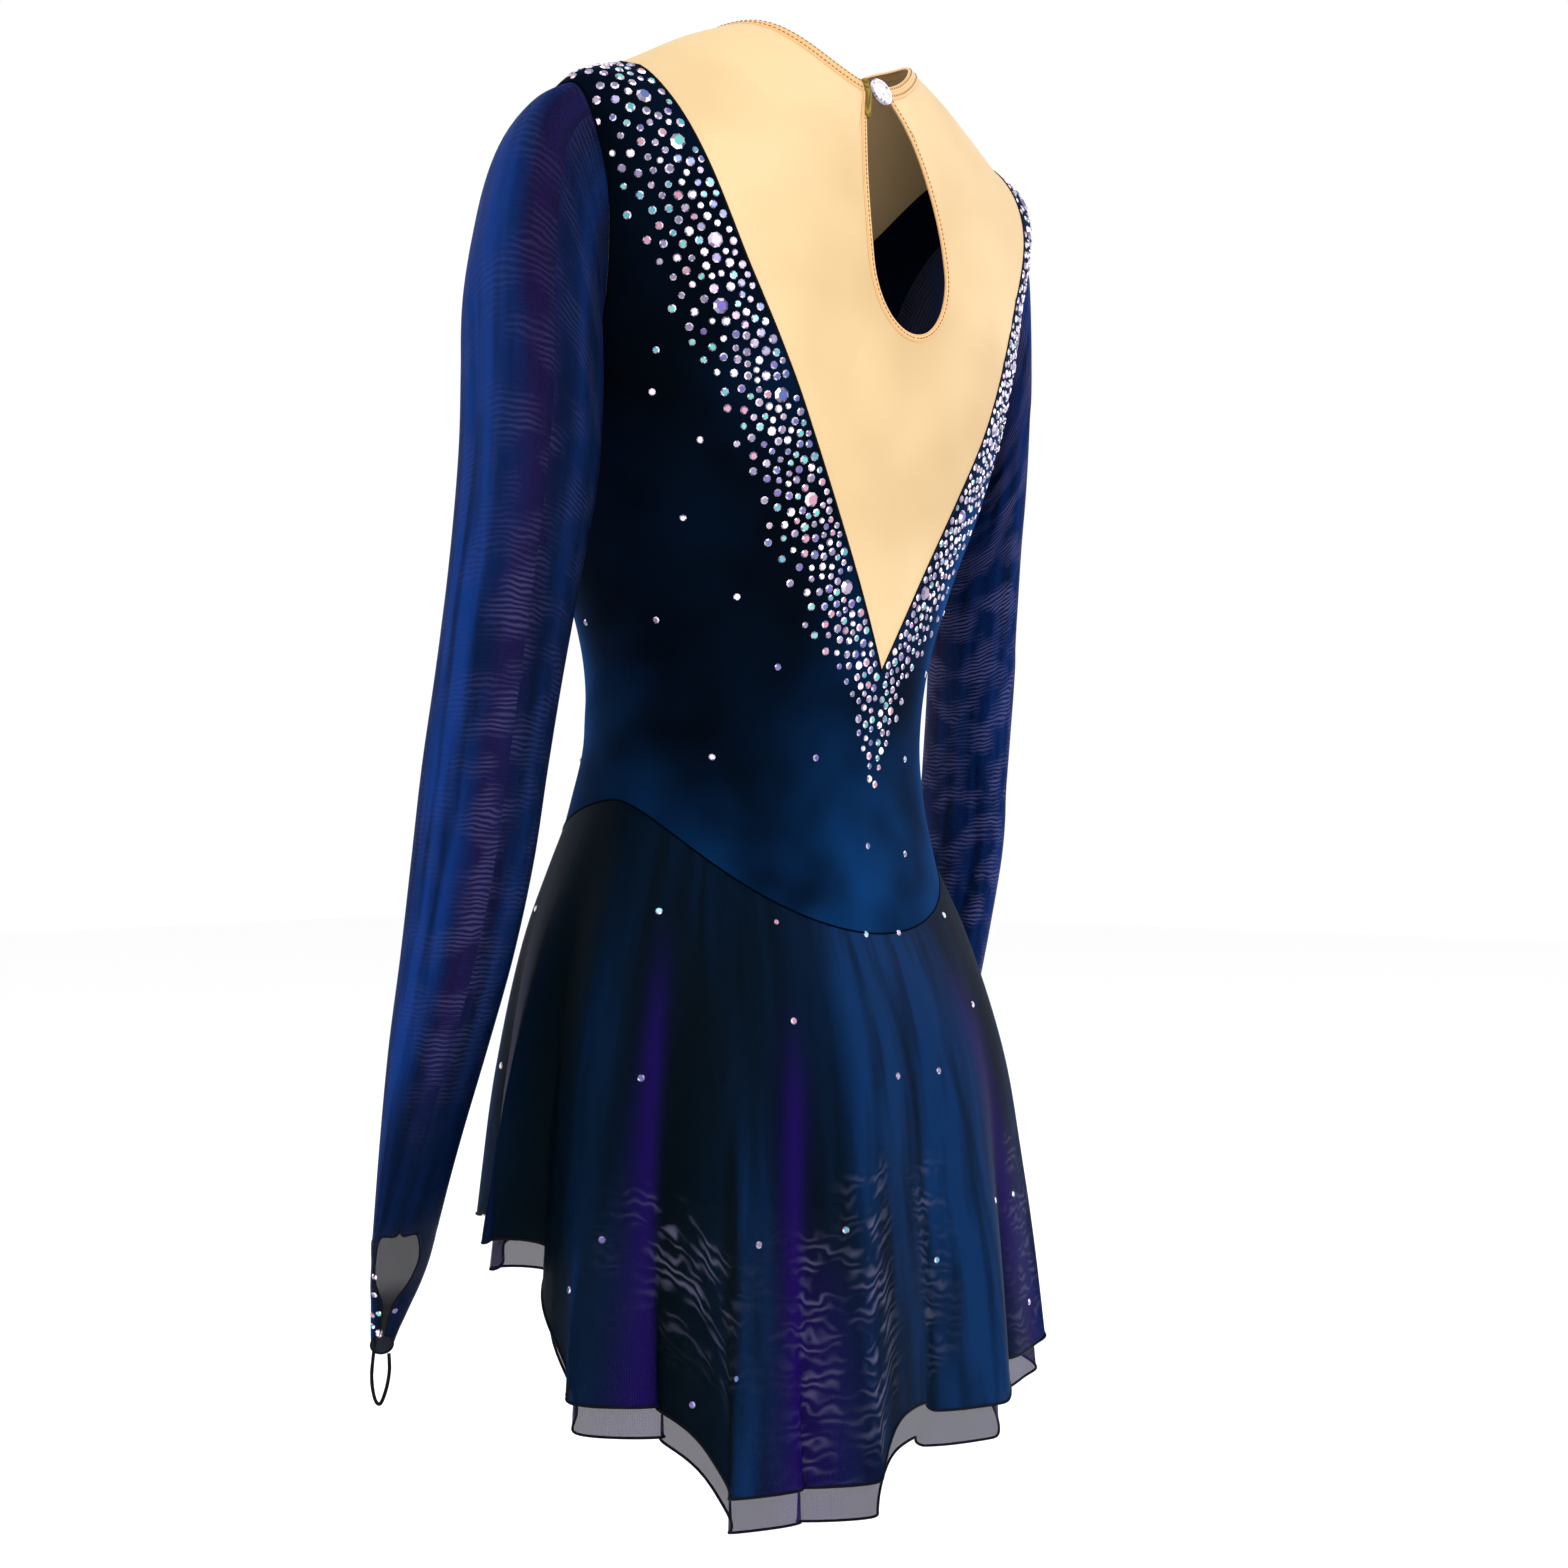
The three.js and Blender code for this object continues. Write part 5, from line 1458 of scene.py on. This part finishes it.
def studs(name, tree, points, facing, along, size, tint, material):
    mesh = bpy.data.meshes.new(name)
    mesh.from_pydata((np.asarray(points) * mm).tolist(), [], [])
    for key, values in (("facing", facing), ("along", along)):
        layer = mesh.attributes.new(key, "FLOAT_VECTOR", "POINT")
        layer.data.foreach_set("vector", np.asarray(values, np.float32).reshape(-1))
    for key, values in (("size", np.asarray(size) * mm), ("tint", tint)):
        layer = mesh.attributes.new(key, "FLOAT", "POINT")
        layer.data.foreach_set("value", np.asarray(values, np.float32))
    thing = link(name, mesh, material)
    modifier = thing.modifiers.new("studs", "NODES")
    modifier.node_group = tree
    for item in tree.interface.items_tree:
        if item.in_out == "INPUT" and item.name == "Finish":
            modifier[item.identifier] = material
    applied(thing)


crystals = {
    "seed": 11, "candidates": 26000, "edgeGap": 0.9,
    "sizes": [4.2, 5.0, 5.6], "sizeShares": [0.25, 0.45, 0.3], "largeSize": 8.8,
    "farGap": 3.6, "tail": 58.0, "bedded": 0.3,
    "smallFrom": 0.35,  # past this share of the way out, no crystal of the largest size
    "thinPower": 1.5, "thinShare": 0.9,  # how the chances fall off outwards
    "shuffle": 2.2,  # millimetres by which the packing order is disturbed
    "batch": 2000,
    "slant": [0.31, 0.52, 0.79],  # a direction that no crystal faces
}
largeCrystals = {  # how far down the V they are, and how far from its edge
    "largeRuns": [38, 66, 118, 150, 205, 262, 318],
    "largeAway": [16, 11, 13, 24, 12, 14, 9],
}
crystalBand = {  # the dense width and the whole width at each distance down the V from the shoulder
    "run": [0, 60, 130, 200, 270, 330, 375, 405, 440],
    "dense": [20, 24, 22, 22, 23, 22, 19, 12, 3],
    "whole": [46, 50, 50, 47, 45, 41, 31, 20, 5],
    "gap": [1.3, 1.4, 0.9, 0.45, 0.3, 0.25, 0.25, 0.3, 0.6],
}
crystalTree = studTree("setCrystals", "crystal", {"Table": 0.3, "Girdle": 0.5, "Height": 0.2})
stitchTree = studTree("setStitches", "stitch", {"Length": 1.8, "Width": 0.75, "Height": 0.5})


def crystalMaterial():
    # Flat-backed glass with a rainbow coating over foil. Its light is painted: a rim of facets, each
    # painted bright or dull at random as a glint, round a table painted one colour from a list of the
    # coating's flashes, blue, green, violet, rose and near-white highlights
    stops = ["#6d6686", "#3c98a8", "#e4d8e8", "#5a4c9c", "#9c8ba8",
             "#58b4ac", "#b87c92", "#4a5a9c", "#f6eef6", "#7a7090"]
    rim = {
        "bright": "#f4e8f0", "dull": "#6f6482",
        "facetVariety": 9.0, "stoneVariety": 37.0, "span": (0.35, 0.6),
    }
    material, tree, shader = newMaterial(
        "rainbowCrystal", "#e9dcf2", 0.12, Metallic=0.4, Specular_IOR_Level=0.7, Coat_Weight=0.3,
        Coat_Roughness=0.03)
    colour = addNode(tree, "ShaderNodeValToRGB", Fac=attribute(tree, "tint"))
    ramp = colour.color_ramp
    ramp.interpolation = "CONSTANT"
    while len(ramp.elements) < len(stops):
        ramp.elements.new(len(ramp.elements) / len(stops))
    for i, stop in enumerate(stops):
        ramp.elements[i].position = i / len(stops)
        ramp.elements[i].color = hexColour(stop)
    # Painted glints: one random brightness for each facet of each stone
    facet = calculate(tree, "MULTIPLY", attribute(tree, "facet"), rim["facetVariety"])
    stone = calculate(tree, "MULTIPLY", attribute(tree, "tint"), rim["stoneVariety"])
    sparkle = addNode(tree, "ShaderNodeTexNoise", {"noise_dimensions": "1D"}, Scale=1.0, Detail=0.0,
                      W=calculate(tree, "ADD", facet, stone))
    facets = blend(tree, ranged(tree, sparkle.outputs["Fac"], rim["span"]), rim["bright"], rim["dull"])
    glass = blend(tree, attribute(tree, "table"), facets, colour.outputs["Color"])
    tree.links.new(glass, shader.inputs["Base Color"])
    return material


materials["crystal"] = crystalMaterial()
draws = np.random.default_rng(crystals["seed"])


def bodyNormal(places):
    # The directions in which the body faces at some places
    angle, place = places[:, 0], places[:, 1]
    here = onBody(places)
    ahead = onBody(atAngle(angle + nearby["angle"], place))
    behind = onBody(atAngle(angle - nearby["angle"], place))
    place = np.maximum(place, nearby["place"])
    below = onBody(atAngle(angle, place + nearby["place"]))
    above = onBody(atAngle(angle, place - nearby["place"]))
    normal = unit(np.cross(ahead - behind, below - above))
    outwards = here - [0, bodyMiddleY, 0]
    return -normal if (normal * outwards)[..., :2].sum() < 0 else normal


def spreadOver(grid, count):
    # Random places on a grid of (angle, place), evenly by the cloth's area
    points = onBody(grid)
    across = np.linalg.norm(points[:-1, 1:] - points[:-1, :-1], axis=-1)
    down = np.linalg.norm(points[1:, :-1] - points[:-1, :-1], axis=-1)
    area = (across * down).reshape(-1)
    cell = draws.choice(len(area), count, p=area / area.sum())
    row, column = np.divmod(cell, grid.shape[1] - 1)
    u, v = draws.random((2, count, 1))
    top = mix(grid[row, column], grid[row, column + 1], u)
    bottom = mix(grid[row + 1, column], grid[row + 1, column + 1], u)
    return mix(top, bottom, v)


def crystalBandOn(grid, edge, band):
    # Crystals packed outwards from an edge: touching beside it, then further and further apart
    places = spreadOver(grid, crystals["candidates"])
    points = onBody(places)
    line = np.concatenate([onBody(edge), band["tail"]])
    run = distanceAlong(line)
    fineRun = np.arange(0, run[-1], 1.0)
    fineLine = np.stack([np.interp(fineRun, run, line[:, i]) for i in range(3)], axis=-1)
    away = np.empty(len(points))
    at = np.empty(len(points))
    for start in range(0, len(points), crystals["batch"]):
        part = slice(start, start + crystals["batch"])
        gaps = np.linalg.norm(points[part, None] - fineLine[None], axis=-1)
        away[part] = gaps.min(axis=1)
        at[part] = fineRun[gaps.argmin(axis=1)]
    whole = np.interp(at, band["run"], band["whole"])
    dense = np.interp(at, band["run"], band["dense"])
    nearGap = np.interp(at, band["run"], band["gap"])
    fade = np.clip((away - dense) / np.maximum(whole - dense, 1), 0, 1)
    size = draws.choice(crystals["sizes"], len(points), p=crystals["sizeShares"])
    size = np.where(fade > crystals["smallFrom"], np.minimum(size, crystals["sizes"][1]), size)
    kept = []
    order = []
    for wantedRun, wantedAway in zip(band["largeRuns"], band["largeAway"]):
        best = (np.abs(at - wantedRun) + 2 * np.abs(away - wantedAway)).argmin()
        size[best] = crystals["largeSize"]
        order.append(best)
    inBand = (away < whole) & (away > size / 2 + crystals["edgeGap"])
    lucky = draws.random(len(points)) > fade ** crystals["thinPower"] * crystals["thinShare"]
    rest = np.nonzero(inBand & lucky)[0]
    order.extend(rest[np.argsort(away[rest] + draws.random(len(rest)) * crystals["shuffle"])])
    taken = np.empty((0, 3))
    radii = np.empty(0)
    for i in order:
        gap = mix(nearGap[i], crystals["farGap"], fade[i])
        if len(kept) and (np.linalg.norm(taken - points[i], axis=1) < radii + size[i] / 2 + gap).any():
            continue
        kept.append(i)
        taken = np.vstack([taken, points[i]])
        radii = np.append(radii, size[i] / 2)
    return places[kept], size[kept]


vPoint = backVEdge["z"][-1]
vTail = onBody(downLine(0, vPoint, vPoint - crystals["tail"], 2))[1:]
backBand = {**crystalBand, **largeCrystals, "tail": vTail}
overShoulder = {
    "run": [0, 30, 60], "dense": [22, 6, 0], "whole": [44, 26, 0], "gap": [1.6, 2, 3],
    "tail": np.empty((0, 3)), "largeRuns": [], "largeAway": [],
}
bandPlaces = []
bandSizes = []
for left, edge, band in ((bodiceBackLeft, backV, backBand), (bodiceFrontLeft, frontV, overShoulder)):
    for grid, side in ((left, 1), (mirroredGrid(left), -1)):
        places, sizesOf = crystalBandOn(grid, edge * [side, 1], band)
        bandPlaces.append(places)
        bandSizes.append(sizesOf)
bandPlaces = np.concatenate(bandPlaces)
bandSizes = np.concatenate(bandSizes)


def setCrystals(name, points, facing, size):
    # The glass sits with its flat back just in the cloth.
    count = len(points)
    spin = draws.random(count) * 2 * np.pi
    sideways = unit(np.cross(facing, crystals["slant"]))
    other = np.cross(facing, sideways)
    along = np.cos(spin)[:, None] * sideways + np.sin(spin)[:, None] * other
    seated = points - facing * crystals["bedded"]
    studs(name, crystalTree, seated, facing, along, size, draws.random(count), materials["crystal"])


setCrystals("bandCrystals", onBody(bandPlaces), bodyNormal(bandPlaces), bandSizes)
print(f"{len(bandPlaces)} crystals lie along the V")

# Single crystals: each is sighted through the camera from its place in the photo, in pixels, and repeated
# on the sides that the photo doesn't show

bodiceSpots = [(656, 350), (652, 392), (700, 440), (683, 518), (656, 620), (737, 597), (778, 667),
               (712, 757), (816, 758), (697, 854), (868, 846), (905, 854)]
skirtSpots = [(866, 934), (659, 911), (944, 915), (794, 1021), (898, 1076), (641, 1078), (846, 1230),
              (937, 1260), (602, 1240), (1029, 1302), (759, 1245), (569, 1290), (692, 1405)]
cuffSpots = [(369, 1251), (377, 1277), (374, 1295), (363, 1301), (372, 1315), (385, 1314), (395, 1311),
             (372, 1326), (370, 1337), (379, 1335), (385, 1332), (365, 1347), (375, 1347), (372, 1357)]
spotSize = {"single": 4.4, "cuff": 3.8}
cuffSearch = {"pixels": 30, "step": 3}
spotReflections = [(1, 1), (-1, 1), (1, -1), (-1, -1)]  # across the body's two upright middle planes
spotApart = 14.0  # the least distance between a repeated crystal and any other


def treeOf(names):
    vertices = []
    faces = []
    for name in names:
        mesh = made[name].data
        start = len(vertices)
        vertices.extend(vertex.co for vertex in mesh.vertices)
        faces.extend([start + i for i in face.vertices] for face in mesh.polygons)
    return BVHTree.FromPolygons(vertices, faces)


def sighted(tree, pixel):
    place, back, right = cameraFrame()
    across = (pixel[0] - photoCamera["axisPixel"]) / photoCamera["focalPixels"]
    down = (pixel[1] - photoCamera["horizonPixel"]) / photoCamera["focalPixels"]
    direction = -back + right * across + Vector((0, 0, -down))
    return tree.ray_cast(place * mm, direction.normalized())[:2]


def setSpots(name, surfaces, spots, size, middleY):
    tree = treeOf(surfaces)
    points = []
    facing = []
    for pixel in spots:
        seen, _ = sighted(tree, pixel)
        if seen is None:
            continue
        for sideX, sideY in spotReflections:
            mirrored = Vector((seen.x * sideX, middleY + (seen.y - middleY) * sideY, seen.z))
            place, normal, _, _ = tree.find_nearest(mirrored)
            if any((place - other).length < spotApart * mm for other in points):
                continue
            outwards = Vector((place.x, place.y - middleY, 0))
            points.append(place)
            facing.append(normal if normal.dot(outwards) > 0 else -normal)
    setCrystals(name, np.array(points) / mm, np.array(facing), np.full(len(points), size))
    print(f"{len(points)} crystals for {name}")


setSpots("bodiceCrystals", ["bodiceBackVelvet", "bodiceFrontVelvet"], bodiceSpots, spotSize["single"],
         bodyMiddleY * mm)
setSpots("skirtCrystals", ["skirtOverBackMesh", "skirtOverFrontMesh"], skirtSpots, spotSize["single"],
         skirt["middleY"] * mm)


def setCuffCrystals():
    # Sighted on the near cuff, and carried over to the other by the arms' own mapping
    tree = treeOf(["sleeveLeftMesh"])
    other = treeOf(["sleeveRightMesh"])
    middle = Vector((cuffForm["midX"][-1], cuffForm["midY"][-1], 0)) * mm
    near = []
    for column, row in cuffSpots:
        # A place that falls in the opening moves sideways until it meets the cuff's outer face.
        for shift in range(0, cuffSearch["pixels"], cuffSearch["step"]):
            place, normal = sighted(tree, (column - shift, row))
            if place is None:
                continue
            outwards = place - middle
            outwards.z = 0
            if normal.dot(outwards) > 0:
                near.append((place, normal))
                break
    far = []
    for place, normal in near:
        across = armPoint(np.array(place) / mm, -1, 1) * mm
        found, turnedNormal, _, _ = other.find_nearest(Vector(across))
        wanted = Vector((-normal.x, normal.y, normal.z))
        far.append((found, turnedNormal if turnedNormal.dot(wanted) > 0 else -turnedNormal))
    for name, found in (("cuffLeftCrystals", near), ("cuffRightCrystals", far)):
        places = np.array([place for place, _ in found]) / mm
        normals = np.array([normal for _, normal in found])
        setCrystals(name, places, normals, np.full(len(found), spotSize["cuff"]))


setCuffCrystals()
print("single crystals are set")

# Stitches: two rows of twin-needle stitching round the neck binding, one on the keyhole binding

stitching = {"every": 2.7, "neckRows": [0.24, 0.76], "keyholeRows": [0.5], "proud": 0.15, "size": 1.0}


def stitchRow(first, second, share):
    # Places along a binding strip, a share of the way across it, with their directions and their rise
    rise = binding["rise"] + binding["fullness"] * np.sin(np.pi * share) + stitching["proud"]
    found = []
    for side in (1, -1):
        edge = mix(first, second, share) * [side, 1]
        points = onBody(edge)
        run = distanceAlong(points)
        wanted = np.arange(stitching["every"] / 2, run[-1], stitching["every"])
        places = np.stack([np.interp(wanted, run, edge[:, i]) for i in (0, 1)], axis=-1)
        along = np.stack([np.interp(wanted, run, np.gradient(points[:, i])) for i in range(3)], axis=-1)
        found.append((places, unit(along), np.full(len(places), rise)))
    return found


def setStitches(name, first, second, rows):
    runs = [run for share in rows for run in stitchRow(first, second, share)]
    places, along, rise = (np.concatenate(column) for column in zip(*runs))
    facing = bodyNormal(places)
    points = onBody(places) + facing * rise[:, None]
    count = len(points)
    studs(name, stitchTree, points, facing, along, np.full(count, stitching["size"]), np.zeros(count),
          materials["stitch"])


setStitches("neckStitches", neckLower, neckUpper, stitching["neckRows"])
setStitches("keyholeStitches", keyholeInner, keyholeOuter, stitching["keyholeRows"])
print("bindings are stitched")

# Gold thread is whipped round the left end of the binding, where the nape loop starts
threadBar = {"radius": 2.0, "proud": 1.0, "steps": 6}
barEdge = np.concatenate([[[float(neckEnd), 0.0]], keyholeInner[:threadBar["steps"]]])
barRun = onBody(barEdge) + bodyNormal(barEdge) * threadBar["proud"]
rolledEdge("napeThreadBar", [(barRun, False)], threadBar["radius"], materials["gold"])

# The nape closure keeps its solids' own shapes

closure = {"nape_button": pearlNylon(), "nape_loop": materials["gold"]}
for name, material in closure.items():
    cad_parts[name].data.materials.clear()
    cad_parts[name].data.materials.append(material)

# What each piece stands for

standsFor = {
    "bodiceBackVelvet": ("bodice_back", "velvet"),
    "bodiceFrontVelvet": ("bodice_front", "velvet"),
    "yokeBackMesh": ("yoke_back", "nude_mesh"),
    "yokeFrontMesh": ("yoke_front", "nude_mesh"),
    "neckBindingStrip": ("neck_binding", "nude_mesh"),
    "keyholeBindingStrip": ("keyhole_binding", "nude_mesh"),
    "sleeveLeftMesh": ("sleeve_left", "sleeve_mesh"),
    "sleeveRightMesh": ("sleeve_right", "sleeve_mesh"),
    "skirtOverBackMesh": ("skirt_over_back", "skirt_mesh"),
    "skirtOverFrontMesh": ("skirt_over_front", "skirt_mesh"),
    "skirtUnderBackMesh": ("skirt_under_back", "skirt_mesh"),
    "skirtUnderFrontMesh": ("skirt_under_front", "skirt_mesh"),
    "briefsBackKnit": ("briefs_back", "dark_knit"),
    "briefsFrontKnit": ("briefs_front", "dark_knit"),
}
# The pieces made here hang from the root, and the solids that the cloth pieces and finger loops replace are
# hidden
for name, thing in made.items():
    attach(thing, "root")
for name, (node, slot) in standsFor.items():
    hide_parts(node)
for side, word in bothArms:
    route = loopPath(side) * mm
    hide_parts(f"finger_loop_{word.lower()}")
